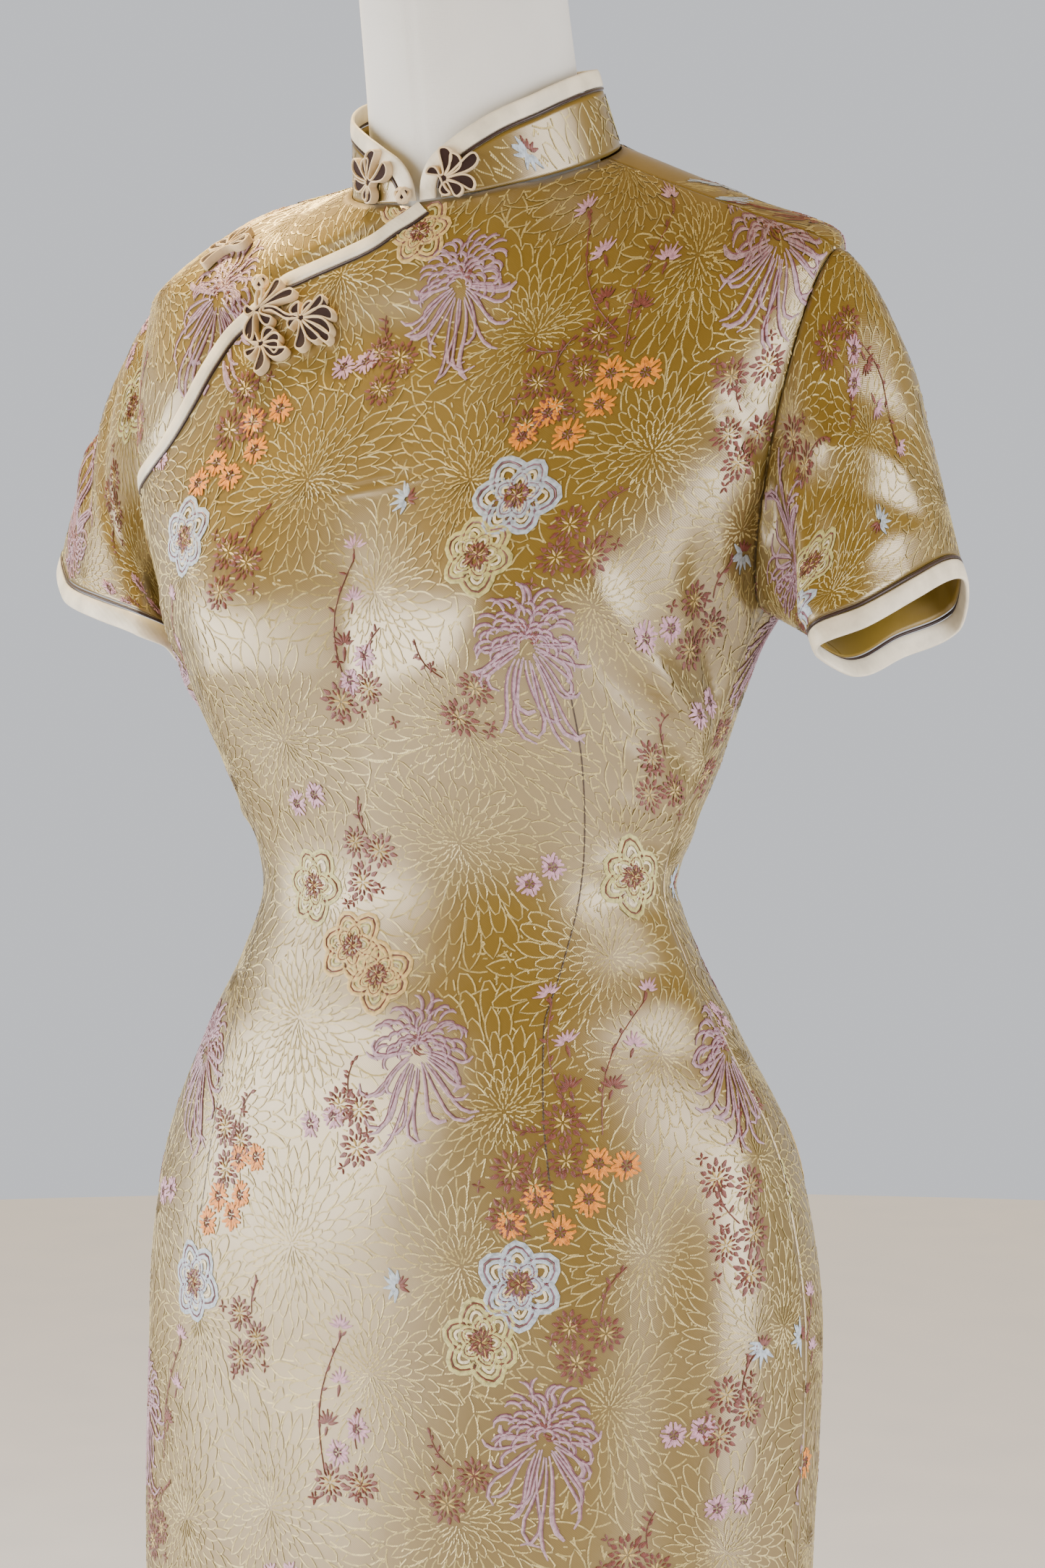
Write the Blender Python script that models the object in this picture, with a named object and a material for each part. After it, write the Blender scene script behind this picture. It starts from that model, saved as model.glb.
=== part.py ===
"""Short-sleeved cheongsam worn by a limbless dress form on a round standing base.

Metres, +Z up, the dress faces -Y and the wearer's left is +X. The origin is on the floor,
under the stand's pole. Cloth walls are ruled between edge curves on smooth garment surfaces,
so every piece has the cut, the thickness and the seams of the sewn garment.
"""
import math
from typing import NamedTuple

import bmesh
import bpy
import numpy as np

# Cloth and seams
WALL = 0.0012
SEAM_GAP = 0.0003
UNDERLAP = 0.0125
UNDERLAP_DROP = WALL + 0.0017

# Heights of the garment on the form
HEM_HEIGHT = 0.300
SLIT_TOP = 0.520
WAIST_HEIGHT = 1.000
ARMPIT_HEIGHT = 1.137
SHOULDER_TIP_HEIGHT = 1.308
NECK_HEIGHT = 1.3680

# Binding and piping that finish the collar, the front opening and the cuffs
BINDING_WIDTH = 0.0090
BINDING_RISE = 0.0008
BINDING_THICKNESS = 0.0020
PIPING_RADIUS = 0.0008
PIPING_CENTRE = BINDING_WIDTH + SEAM_GAP + PIPING_RADIUS
CLOTH_INSET = PIPING_CENTRE + PIPING_RADIUS + SEAM_GAP

# Armhole: how far its edge stands before and behind the side line
ARMHOLE_FRONT = 0.031
ARMHOLE_BACK = 0.045
ARMHOLE_STEPS = 20
ARMHOLE_MIDDLE = (SHOULDER_TIP_HEIGHT + ARMPIT_HEIGHT) / 2
ARMHOLE_REACH = (SHOULDER_TIP_HEIGHT - ARMPIT_HEIGHT) / 2
OPENING_END_STEP = 5

# Collar: its two front ends stand a little apart, just above the neckline seam
COLLAR_LIFT = 0.0004
COLLAR_FOOT = 0.004
COLLAR_END_DEGREES = 0.8

# Frogs of folded bias strip that stands on edge, and their ball knots
STRIP_THICKNESS = 0.0010
STRIP_HEIGHT = 0.0040
KNOT_RADIUS = 0.0045
PETAL_FOOT = 2.4
PETAL_NECK = 0.62

# Dress form and stand
FORM_CLEARANCE = 0.0075
FORM_SEAT = WALL + 0.0008
FORM_BOTTOM = 0.760
NECK_TOP = 1.505
POLE_RADIUS = 0.014
BASE_RADIUS = 0.170
BASE_THICKNESS = 0.014
SOCKET_RADIUS = 0.024
SOCKET_HEIGHT = 0.055


class Row(NamedTuple):
    """One girth of the dress: an oval whose front part may lie lower than its side points."""
    height: float
    half_width: float
    front: float
    back: float
    side_line: float
    tilt: float
    square: float


DRESS_ROWS = (
    Row(HEM_HEIGHT, 0.170, 0.117, 0.122, 0.004, 0.00, 2.0),
    Row(0.500, 0.177, 0.121, 0.126, 0.004, 0.00, 2.0),
    Row(0.650, 0.182, 0.123, 0.129, 0.003, 0.00, 2.0),
    Row(0.780, 0.185, 0.123, 0.132, 0.009, 0.00, 2.0),
    Row(0.860, 0.174, 0.119, 0.126, 0.008, 0.00, 2.0),
    Row(0.930, 0.143, 0.107, 0.103, 0.002, 0.00, 2.0),
    Row(0.965, 0.124, 0.095, 0.092, 0.001, 0.00, 2.0),
    Row(WAIST_HEIGHT, 0.112, 0.088, 0.087, 0.001, 0.00, 2.0),
    Row(1.060, 0.133, 0.100, 0.098, 0.004, 0.00, 2.0),
    Row(1.115, 0.154, 0.108, 0.108, 0.005, 0.04, 2.0),
    Row(ARMPIT_HEIGHT, 0.166, 0.108, 0.109, 0.005, 0.07, 2.1),
    Row(1.170, 0.176, 0.105, 0.108, 0.005, 0.12, 2.4),
    Row(1.210, 0.185, 0.100, 0.106, 0.005, 0.20, 2.7),
    Row(1.270, 0.196, 0.088, 0.100, 0.008, 0.32, 2.6),
    Row(SHOULDER_TIP_HEIGHT, 0.199, 0.080, 0.088, 0.012, 0.40, 2.2),
    Row(1.332, 0.152, 0.078, 0.082, 0.014, 0.41, 2.0),
    Row(1.352, 0.106, 0.074, 0.076, 0.017, 0.41, 2.0),
    Row(NECK_HEIGHT, 0.0705, 0.0665, 0.0675, 0.0186, 0.400, 2.0),
)


class BustShape(NamedTuple):
    """The fullness that the bust darts give each side of the front."""
    apart: float = 0.085
    height: float = 1.118
    width: float = 0.062
    above: float = 0.085
    below: float = 0.055
    depth: float = 0.030


class ShoulderRise(NamedTuple):
    """How the right shoulder is lifted: by how much, how far out, how widely and from what height."""
    height: float = 0.021
    apart: float = 0.150
    width: float = 0.060
    below: float = 1.240


BUST = BustShape()
SHOULDER_RISE = ShoulderRise()

# Where the finished edge of the front opening crosses each girth, towards the wearer's right
OPENING = (
    (1.2220, -0.1820),
    (1.2360, -0.1600),
    (1.2500, -0.1430),
    (1.2680, -0.1280),
    (1.2840, -0.1180),
    (1.2990, -0.1090),
    (1.3120, -0.0980),
    (1.3225, -0.0880),
    (1.3325, -0.0790),
    (1.3400, -0.0640),
    (1.3500, -0.0380),
    (1.3550, -0.0240),
    (1.3605, -0.0140),
    (1.3645, -0.0055),
    (NECK_HEIGHT, 0.0000),
)

# How high the collar stands at each angle from the centre front, as a share of its full height
COLLAR_FALL = (
    (COLLAR_END_DEGREES, 0.0),
    (1.4, 0.13),
    (3.0, 0.25),
    (8.0, 0.41),
    (14.0, 0.50),
    (25.0, 0.63),
    (40.0, 0.76),
    (55.0, 0.84),
    (70.0, 0.92),
    (85.0, 0.975),
    (100.0, 1.0),
    (180.0, 1.0),
)


class Ring(NamedTuple):
    """A tilted oval of the collar or of the form's neck."""
    height: float
    half_width: float
    half_depth: float
    centre: float
    tilt: float


COLLAR_BASE = Ring(NECK_HEIGHT + COLLAR_LIFT, 0.0702, 0.0667, 0.0186, 0.400)
COLLAR_TOP = Ring(1.4100, 0.0628, 0.0628, 0.0066, 0.285)

NECK_RINGS = (
    Ring(1.3620, 0.0600, 0.0585, 0.0180, 0.38),
    Ring(1.3850, 0.0555, 0.0550, 0.0100, 0.28),
    Ring(1.4250, 0.0535, 0.0535, 0.0010, 0.22),
    Ring(1.4700, 0.0525, 0.0530, -0.0080, 0.12),
    Ring(NECK_TOP, 0.0520, 0.0525, -0.0140, 0.00),
)


# Each sleeve's finished hem: the turn in degrees from the shoulder tip forwards, then the point
LEFT_HEM = (
    (0, (0.260, 0.020, 1.148)),
    (50, (0.255, -0.020, 1.137)),
    (90, (0.241, -0.045, 1.123)),
    (125, (0.223, -0.055, 1.115)),
    (155, (0.214, -0.034, 1.109)),
    (185, (0.219, -0.006, 1.102)),
    (240, (0.225, 0.035, 1.112)),
    (300, (0.241, 0.064, 1.125)),
    (330, (0.253, 0.046, 1.140)),
)
RIGHT_HEM = (
    (0, (-0.270, 0.010, 1.172)),
    (50, (-0.246, -0.020, 1.152)),
    (90, (-0.201, -0.045, 1.138)),
    (115, (-0.176, -0.048, 1.130)),
    (145, (-0.166, -0.038, 1.124)),
    (185, (-0.180, -0.006, 1.117)),
    (230, (-0.196, 0.025, 1.128)),
    (280, (-0.230, 0.036, 1.147)),
    (325, (-0.260, 0.030, 1.166)),
)


class Flower(NamedTuple):
    """A frog's looped flower: its middle on the surface, and each petal's direction and length."""
    angle: float
    height: float
    petals: tuple


COLLAR_RIGHT_FLOWER = Flower(-23.0, 0.21, ((93, 15), (152, 17), (-150, 9), (-88, 8), (18, 14)))
COLLAR_LEFT_FLOWER = Flower(13.5, 0.17, ((132, 9), (75, 14), (22, 19), (-30, 10), (-100, 7)))
UPPER_FLOWER = Flower(-55.0, 1.3310, ((48, 13), (96, 15), (150, 14), (200, 12), (245, 15)))
LOWER_FLOWERS = (
    Flower(-24.2, 1.3134, ((86, 16), (48, 19), (-122, 17), (-165, 8))),
    Flower(-15.2, 1.3132, ((94, 9), (32, 18), (-16, 20), (-62, 15), (-104, 14), (-165, 9))),
    Flower(-20.1, 1.2971, ((98, 8), (42, 11), (-8, 13), (-54, 15), (-122, 11), (165, 9))),
)
COLLAR_KNOT = (-4.0, 0.06)
OPENING_KNOT = (-31.0, 1.3250)


MATERIALS = {
    "brocade": ((0.62, 0.50, 0.22), 0.35, 0.0),
    "binding": ((0.80, 0.74, 0.60), 0.45, 0.0),
    "piping": ((0.05, 0.03, 0.03), 0.50, 0.0),
    "frog": ((0.70, 0.60, 0.45), 0.50, 0.0),
    "form_cloth": ((0.72, 0.72, 0.70), 0.85, 0.0),
    "stand_metal": ((0.60, 0.60, 0.62), 0.35, 1.0),
}


def clear_scene():
    for item in list(bpy.data.objects):
        bpy.data.objects.remove(item)


def material(name):
    found = bpy.data.materials.get(name)
    if found:
        return found
    colour, roughness, metallic = MATERIALS[name]
    made = bpy.data.materials.new(name)
    made.use_nodes = True
    shader = made.node_tree.nodes["Principled BSDF"]
    shader.inputs["Base Color"].default_value = (*colour, 1.0)
    shader.inputs["Roughness"].default_value = roughness
    shader.inputs["Metallic"].default_value = metallic
    return made


def add_object(name, mesh, finish, smooth=True):
    made = bpy.data.objects.new(name, mesh)
    bpy.context.scene.collection.objects.link(made)
    mesh.materials.append(material(finish))
    if smooth:
        mesh.shade_smooth()
        mesh.set_sharp_from_angle(angle=math.radians(50))
    return made


def profile(stations, values):
    """A smooth curve through the values that never overshoots them."""
    x, y = np.array(stations, float), np.array(values, float)
    step = np.diff(x)
    slope = np.diff(y) / step
    tangent = np.zeros(len(x))
    tangent[0], tangent[-1] = slope[0], slope[-1]
    for i in range(1, len(x) - 1):
        if slope[i - 1] * slope[i] > 0:
            before, after = 2 * step[i] + step[i - 1], step[i] + 2 * step[i - 1]
            tangent[i] = (before + after) / (before / slope[i - 1] + after / slope[i])

    def at(t):
        t = np.asarray(t, float)
        k = np.clip(np.searchsorted(x, t, side="right") - 1, 0, len(x) - 2)
        s = (t - x[k]) / step[k]
        rise = s * s * (3 - 2 * s)
        return (y[k] * (1 - rise) + y[k + 1] * rise
                + step[k] * (tangent[k] * s * (1 - s) ** 2 - tangent[k + 1] * s * s * (1 - s)))

    return at


GIRTH = {field: profile([row.height for row in DRESS_ROWS], [getattr(row, field) for row in DRESS_ROWS])
         for field in Row._fields if field != "height"}
OPENING_SIDE = profile([height for height, _ in OPENING], [side for _, side in OPENING])


def fade(value, start, end):
    """0 before start and 1 after end, with a smooth change between."""
    t = np.clip((np.asarray(value, float) - start) / (end - start), 0, 1)
    return t * t * (3 - 2 * t)


def bust_fullness(side, height):
    spread = np.where(height > BUST.height, BUST.above, BUST.below)
    across = np.exp(-((np.abs(side) - BUST.apart) / BUST.width) ** 2)
    return BUST.depth * across * np.exp(-((height - BUST.height) / spread) ** 2)


def shoulder_rise(side, height):
    """The wearer's right shoulder sits a little higher than the left."""
    across = np.exp(-((side + SHOULDER_RISE.apart) / SHOULDER_RISE.width) ** 2)
    return SHOULDER_RISE.height * across * fade(height, SHOULDER_RISE.below, SHOULDER_TIP_HEIGHT)


def signed_power(value, power):
    return np.sign(value) * np.abs(value) ** power


def dress(angle, height):
    """The dress's outer face. Angle 0 is the centre front and 90 degrees the wearer's left side."""
    angle, height = np.broadcast_arrays(np.asarray(angle, float), np.asarray(height, float))
    power = 2 / GIRTH["square"](height)
    facing = np.cos(angle)
    side = GIRTH["half_width"](height) * signed_power(np.sin(angle), power)
    depth = np.where(facing > 0, GIRTH["front"](height), GIRTH["back"](height))
    from_side_line = -depth * signed_power(facing, power)
    from_side_line = from_side_line - bust_fullness(side, height) * np.sqrt(np.clip(facing, 0, 1))
    level = height + GIRTH["tilt"](height) * from_side_line + shoulder_rise(side, height)
    return np.stack([side, GIRTH["side_line"](height) + from_side_line, level], -1)


def oval(ring_values, angle):
    height, half_width, half_depth, centre, tilt = ring_values
    away = -half_depth * np.cos(angle)
    return np.stack([half_width * np.sin(angle), centre + away, height + tilt * away], -1)


def collar(angle, rise):
    """The stand collar's outer face. Rise is 0 on the neckline and 1 at the full height."""
    angle, rise = np.broadcast_arrays(np.asarray(angle, float), np.asarray(rise, float))
    return oval([low + (high - low) * rise for low, high in zip(COLLAR_BASE, COLLAR_TOP)], angle)


def armhole_angle(height, reach):
    """The angle of the armhole's edge on a girth, for an edge that far from the side line."""
    spread = np.sqrt(np.clip(1 - ((height - ARMHOLE_MIDDLE) / ARMHOLE_REACH) ** 2, 0, 1))
    depth = GIRTH["front"](height) if reach == ARMHOLE_FRONT else GIRTH["back"](height)
    return np.arccos(np.clip(reach * spread / depth, 0, 1) ** (GIRTH["square"](height) / 2))


def armhole_edge(turn, side):
    """A point of the armhole's edge. Turn 0 is the shoulder tip and a quarter turn its front."""
    height = ARMHOLE_MIDDLE + ARMHOLE_REACH * np.cos(turn)
    front = armhole_angle(height, ARMHOLE_FRONT)
    back = math.pi - armhole_angle(height, ARMHOLE_BACK)
    return dress(side * np.where(np.sin(turn) >= 0, front, back), height)


def closed_profile(stops):
    """A smooth loop through points given at their turns in degrees."""
    turns = np.radians([turn for turn, _ in stops])
    points = np.array([point for _, point in stops])
    turns = np.concatenate([turns - 2 * math.pi, turns, turns + 2 * math.pi])
    columns = [profile(turns, np.tile(points[:, axis], 3)) for axis in range(3)]
    return lambda turn: np.stack([column(turn) for column in columns], -1)


def sleeve(hem, side):
    """A sleeve's outer face, by the turn round it and the way along it from armhole to hem."""
    hem_point = closed_profile(hem)

    def surface(turn, along):
        turn, along = np.broadcast_arrays(np.asarray(turn, float), np.asarray(along, float))
        start, end = armhole_edge(turn, side), hem_point(turn % (2 * math.pi))
        length = np.linalg.norm(end - start, axis=-1, keepdims=True)
        top = (1 + np.cos(turn)[..., None]) / 2
        leave = (top * np.array([side * 0.55, 0.0, -0.42]) + (1 - top) * np.array([side * 0.70, 0.0, -0.45]))
        leave = leave + np.sin(turn)[..., None] * np.array([0.0, -0.15, 0.0])
        arrive = np.array([side * 0.22, 0.0, -0.75]) * length
        start = start + 2 * SEAM_GAP * leave / np.linalg.norm(leave, axis=-1, keepdims=True)
        leave = leave * length
        t = along[..., None]
        return (start * (1 - t) ** 2 * (1 + 2 * t) + leave * t * (1 - t) ** 2
                + end * t * t * (3 - 2 * t) - arrive * t * t * (1 - t))

    return surface


def tangents(surface, u, v, step=1e-4):
    across = (surface(u + step, v) - surface(u - step, v)) / (2 * step)
    along = (surface(u, v + step) - surface(u, v - step)) / (2 * step)
    return across, along


def normals(surface, u, v, outward=1):
    normal = np.cross(*tangents(surface, u, v)) * outward
    return normal / np.linalg.norm(normal, axis=-1, keepdims=True)


def inset(surface, edge, distance, outward=1):
    """Moves a curve of surface coordinates sideways over the surface by a real distance."""
    edge = np.asarray(edge, float)
    points = surface(edge[:, 0], edge[:, 1])
    run = np.gradient(points, axis=0)
    across, along = tangents(surface, edge[:, 0], edge[:, 1])
    sideways = np.cross(normals(surface, edge[:, 0], edge[:, 1], outward), run)
    sideways *= distance / np.linalg.norm(sideways, axis=1, keepdims=True)
    moved = [np.linalg.lstsq(np.stack([a, b], 1), s, rcond=None)[0] for a, b, s in zip(across, along, sideways)]
    return edge + np.array(moved)


def grid_mesh(name, points, merge=False):
    """A mesh of rows and columns of points. Merging closes it where its borders meet."""
    rows, columns = points.shape[:2]
    sheet = bmesh.new()
    bmesh.ops.create_grid(sheet, x_segments=columns - 1, y_segments=rows - 1, size=0.5)
    for vertex in sheet.verts:
        column = round((vertex.co.x + 0.5) * (columns - 1))
        row = round((vertex.co.y + 0.5) * (rows - 1))
        vertex.co = points[row, column]
    if merge:
        bmesh.ops.remove_doubles(sheet, verts=sheet.verts[:], dist=1e-6)
    bmesh.ops.recalc_face_normals(sheet, faces=sheet.faces[:])
    mesh = bpy.data.meshes.new(name)
    sheet.to_mesh(mesh)
    sheet.free()
    return mesh


def cloth(name, surface, edge_a, edge_b, across, finish, lift=0.0, thickness=WALL, ring=False,
          outward=1, crown=0.0):
    """A cloth wall ruled between two edges on a surface, thickened inwards from its lifted face."""
    edge_a, edge_b = np.asarray(edge_a, float), np.asarray(edge_b, float)
    shares = np.linspace(0, 1, across + 1)
    coordinates = edge_a[:, None] * (1 - shares[None, :, None]) + edge_b[:, None] * shares[None, :, None]
    u, v = coordinates[..., 0], coordinates[..., 1]
    rise = (lift(u, v) if callable(lift) else lift) + crown * 4 * shares * (1 - shares)
    normal = normals(surface, u, v, outward)
    points = surface(u, v) + normal * np.broadcast_to(rise, u.shape)[..., None]
    mesh = grid_mesh(name, points, ring)
    middle = mesh.polygons[0]
    nearest = np.argmin(np.linalg.norm(points - np.array(middle.center), axis=-1))
    if np.dot(np.array(middle.normal), normal.reshape(-1, 3)[nearest]) < 0:
        mesh.flip_normals()
    made = add_object(name, mesh, finish)
    wall = made.modifiers.new("wall", "SOLIDIFY")
    wall.thickness = thickness
    wall.offset = -1
    return made


def round_cord(name, points, finish, closed=False, radius=PIPING_RADIUS):
    curve = bpy.data.curves.new(name, "CURVE")
    curve.dimensions = "3D"
    curve.bevel_depth = radius
    curve.bevel_resolution = 0
    curve.use_fill_caps = not closed
    spline = curve.splines.new("POLY")
    spline.points.add(len(points) - 1)
    for spot, point in zip(spline.points, points):
        spot.co = (*point, 1.0)
    spline.use_cyclic_u = closed
    made = bpy.data.objects.new(name, curve)
    curve.materials.append(material(finish))
    bpy.context.scene.collection.objects.link(made)
    return made


def piping_line(surface, edge, outward=1):
    """The middle of a piping that lies in the groove between cloth and binding."""
    u, v = edge[:, 0], edge[:, 1]
    return surface(u, v) + normals(surface, u, v, outward) * (BINDING_RISE - PIPING_RADIUS)


def seam_shift(angle, height, distance):
    """The change of angle that moves a point of a girth by a real distance."""
    across, _ = tangents(dress, angle, height)
    return distance / np.linalg.norm(across, axis=-1)


def armhole_heights():
    turns = np.linspace(math.pi, 0, ARMHOLE_STEPS // 2 + 1)
    return ARMHOLE_MIDDLE + ARMHOLE_REACH * np.cos(turns)


OPENING_END = armhole_heights()[ARMHOLE_STEPS // 2 - OPENING_END_STEP]


def panel_heights(skirt_rows=8, body_rows=7, shoulder_rows=7):
    """Rows from hem to neckline, with the armhole's own steps between armpit and shoulder tip."""
    skirt = np.linspace(HEM_HEIGHT, 0.800, skirt_rows)[:-1]
    body = np.linspace(0.800, ARMPIT_HEIGHT, body_rows + 1)[:-1]
    shoulder = np.linspace(SHOULDER_TIP_HEIGHT, NECK_HEIGHT, shoulder_rows + 1)[1:]
    return np.concatenate([skirt, [SLIT_TOP], body, armhole_heights(), shoulder])


def sorted_heights(low, high, extra=()):
    heights = np.unique(np.round(np.concatenate([panel_heights(), extra]), 6))
    return heights[(heights >= low - 1e-6) & (heights <= high + 1e-6)]


def side_edge(heights, reach, quarter):
    """A panel's edge along slit, side seam, armhole and shoulder, as distances from that seam."""
    angles = []
    for height in heights:
        edge = math.pi / 2
        if ARMPIT_HEIGHT < height < SHOULDER_TIP_HEIGHT:
            edge = float(armhole_angle(height, reach))
        open_slit = 0.006 * float(fade(SLIT_TOP - height, 0, SLIT_TOP - HEM_HEIGHT))
        edge -= float(seam_shift(edge, height, SEAM_GAP + open_slit))
        angles.append(quarter * edge)
    return np.array(angles)


def opening_edge(heights):
    """The finished edge of the front opening on each girth."""
    side = OPENING_SIDE(heights) / GIRTH["half_width"](heights)
    return np.stack([np.arcsin(np.clip(signed_power(side, GIRTH["square"](heights) / 2), -1, 1)), heights], 1)


def neckline(heights):
    """Keeps the last row a seam gap below the collar."""
    return np.minimum(heights, NECK_HEIGHT - SEAM_GAP)


def opening_heights():
    """The rows that cross the opening, closer together where it rounds the chest's corner."""
    steps = armhole_heights()[ARMHOLE_STEPS // 2 - OPENING_END_STEP:]
    closer = [np.linspace(low, high, count + 1)[1:-1] for low, high, count in zip(steps, steps[1:], (8, 3, 2))]
    return sorted_heights(OPENING_END, NECK_HEIGHT, np.concatenate(closer))


def build_front():
    upper = opening_heights()
    edge = opening_edge(upper)
    inner = inset(dress, edge, -CLOTH_INSET)
    inner[:, 1] = neckline(inner[:, 1])
    below_opening = inner[0, 1] - 0.003
    lower = sorted_heights(HEM_HEIGHT, below_opening)
    lower = np.append(lower[lower < below_opening - 0.002], below_opening)
    heights = np.concatenate([lower, upper])
    left = np.stack([side_edge(heights, ARMHOLE_FRONT, 1), neckline(heights)], 1)
    right = np.stack([side_edge(lower, ARMHOLE_FRONT, -1), lower], 1)
    cloth("front_panel", dress, np.concatenate([right, inner]), left, 20, "brocade")
    cloth("opening_binding", dress, edge, inset(dress, edge, -BINDING_WIDTH), 2, "binding", BINDING_RISE,
          BINDING_THICKNESS, crown=0.0003)
    round_cord("opening_piping", piping_line(dress, inset(dress, edge, -PIPING_CENTRE)), "piping")


def under_drop(angle, height):
    """How far the under front steps down where the main front and its binding lie on it."""
    line = opening_edge(np.linspace(OPENING_END, NECK_HEIGHT, 160))
    points = dress(angle, height)
    near = np.linalg.norm(points[..., None, :] - dress(line[:, 0], line[:, 1]), axis=-1).min(axis=-1)
    opening = OPENING_SIDE(np.clip(height, OPENING_END, NECK_HEIGHT))
    outside = np.where(points[..., 0] < opening, near, -near)
    return -UNDERLAP_DROP * (1 - fade(outside, 0.003, 0.012))


def build_under_front():
    heights = opening_heights()
    outer = np.stack([side_edge(heights, ARMHOLE_FRONT, -1), neckline(heights)], 1)
    inner = inset(dress, opening_edge(heights), -UNDERLAP)
    inner[:, 1] = neckline(inner[:, 1])
    cloth("under_front", dress, outer, inner, 7, "brocade", under_drop)


def build_back():
    heights = sorted_heights(HEM_HEIGHT, NECK_HEIGHT)
    side = side_edge(heights, ARMHOLE_BACK, 1)
    left = np.stack([math.pi - side, neckline(heights)], 1)
    right = np.stack([math.pi + side, neckline(heights)], 1)
    cloth("back_panel", dress, left, right, 18, "brocade")


def build_sleeve(name, hem, side):
    surface = sleeve(hem, side)
    outward = -side
    turns = np.linspace(0, 2 * math.pi, ARMHOLE_STEPS + 1)
    start = np.stack([turns, np.zeros_like(turns)], 1)
    finished = np.stack([turns, np.ones_like(turns)], 1)

    def ring_inset(distance):
        _, along = tangents(surface, turns, np.ones_like(turns))
        return np.stack([turns, 1 - distance / np.linalg.norm(along, axis=1)], 1)

    cloth(f"{name}_sleeve", surface, start, ring_inset(CLOTH_INSET), 7, "brocade",
          ring=True, outward=outward)
    cloth(f"{name}_cuff_binding", surface, finished, ring_inset(BINDING_WIDTH), 2, "binding",
          BINDING_RISE, BINDING_THICKNESS, ring=True, outward=outward, crown=0.0003)
    line = piping_line(surface, ring_inset(PIPING_CENTRE), outward)
    round_cord(f"{name}_cuff_piping", line[:-1], "piping", closed=True)


def collar_edge():
    """The finished top edge, from its right front end at the neckline round the neck to its left."""
    half = np.degrees(math.pi * np.linspace(0, 1, 17) ** 1.8)[1:]
    half = np.concatenate([[COLLAR_END_DEGREES, 2.4], half[half > 2.4]])
    rise = profile(*zip(*COLLAR_FALL))(half)
    right = np.stack([-np.radians(half), rise], 1)
    left = np.stack([np.radians(half) - 2 * math.pi, rise], 1)[::-1]
    return np.concatenate([right, left[1:]])


def build_collar():
    edge = collar_edge()
    edge[:, 1] = np.maximum(edge[:, 1], COLLAR_FOOT)
    binding_inner = inset(collar, edge, BINDING_WIDTH)
    binding_inner[:, 1] = np.maximum(binding_inner[:, 1], COLLAR_FOOT)
    cloth("collar_binding", collar, edge, binding_inner, 2, "binding", BINDING_RISE,
          BINDING_THICKNESS, crown=0.0003)
    top = inset(collar, edge, CLOTH_INSET)
    top = top[top[:, 1] > 0.05]
    base = np.stack([top[:, 0], np.full(len(top), COLLAR_FOOT)], 1)
    cloth("collar_band", collar, base, top, 3, "brocade")
    line = inset(collar, edge, PIPING_CENTRE)
    round_cord("collar_piping", piping_line(collar, line[line[:, 1] > 0.06]), "piping")


def flower_outline(petals):
    """The plan of a strip that loops out and back in once for each petal, in metres."""
    outline = []
    petals = sorted(((degrees % 360, length) for degrees, length in petals), reverse=True)
    for i, (degrees, length) in enumerate(petals):
        before = math.radians((petals[i - 1][0] - degrees) % 360)
        after = math.radians((degrees - petals[(i + 1) % len(petals)][0]) % 360)
        start, end = (max(PETAL_FOOT, 4 * PETAL_NECK / min(gap, 1.5)) for gap in (before, after))
        ahead = np.array([math.cos(math.radians(degrees)), math.sin(math.radians(degrees))])
        aside = np.array([-ahead[1], ahead[0]])
        wide = min(0.24 * length, 2.3)
        outline.append(ahead * start + aside * PETAL_NECK)
        for share, width in ((0.45, 0.72), (0.8, 1.0), (1.0, 0.6), (1.0, -0.6), (0.8, -1.0), (0.45, -0.72)):
            outline.append(ahead * (PETAL_FOOT + share * (length - PETAL_FOOT)) + aside * width * wide)
        outline.append(ahead * end - aside * PETAL_NECK)
    return np.array(outline) / 1000


def on_surface(surface, angle, height, plan):
    """Lays a plan in metres on a surface round a point, keeping its sizes there."""
    at = math.radians(angle)
    across, along = tangents(surface, np.array(at), np.array(height))
    first = across / np.linalg.norm(across)
    second = np.cross(normals(surface, np.array(at), np.array(height)), first)
    moves = plan[:, :1] * first + plan[:, 1:] * second
    frame = np.stack([across, along], 1)
    shifts = np.array([np.linalg.lstsq(frame, move, rcond=None)[0] for move in moves])
    u, v = at + shifts[:, 0], height + shifts[:, 1]
    return surface(u, v), normals(surface, u, v)


def flower_strip(name, surface, flower, lift):
    """A closed strip that stands on edge on the surface along the flower's plan."""
    points, normal = on_surface(surface, flower.angle, flower.height, flower_outline(flower.petals))
    run = np.roll(points, -1, axis=0) - np.roll(points, 1, axis=0)
    aside = np.cross(normal, run)
    aside *= STRIP_THICKNESS / 2 / np.linalg.norm(aside, axis=1, keepdims=True)
    low, high = normal * lift, normal * (lift + STRIP_HEIGHT)
    corners = np.stack([points + aside + low, points - aside + low, points - aside + high,
                        points + aside + high, points + aside + low], 1)
    return grid_mesh(name, np.concatenate([corners, corners[:1]]), merge=True)


def ball(name, surface, spot, lift):
    centre, normal = on_surface(surface, spot[0], spot[1], np.zeros((1, 2)))
    knot = bmesh.new()
    bmesh.ops.create_uvsphere(knot, u_segments=10, v_segments=7, radius=KNOT_RADIUS)
    bmesh.ops.translate(knot, verts=knot.verts[:], vec=(centre + normal * (lift + KNOT_RADIUS))[0])
    mesh = bpy.data.meshes.new(name)
    knot.to_mesh(mesh)
    knot.free()
    return mesh


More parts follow.
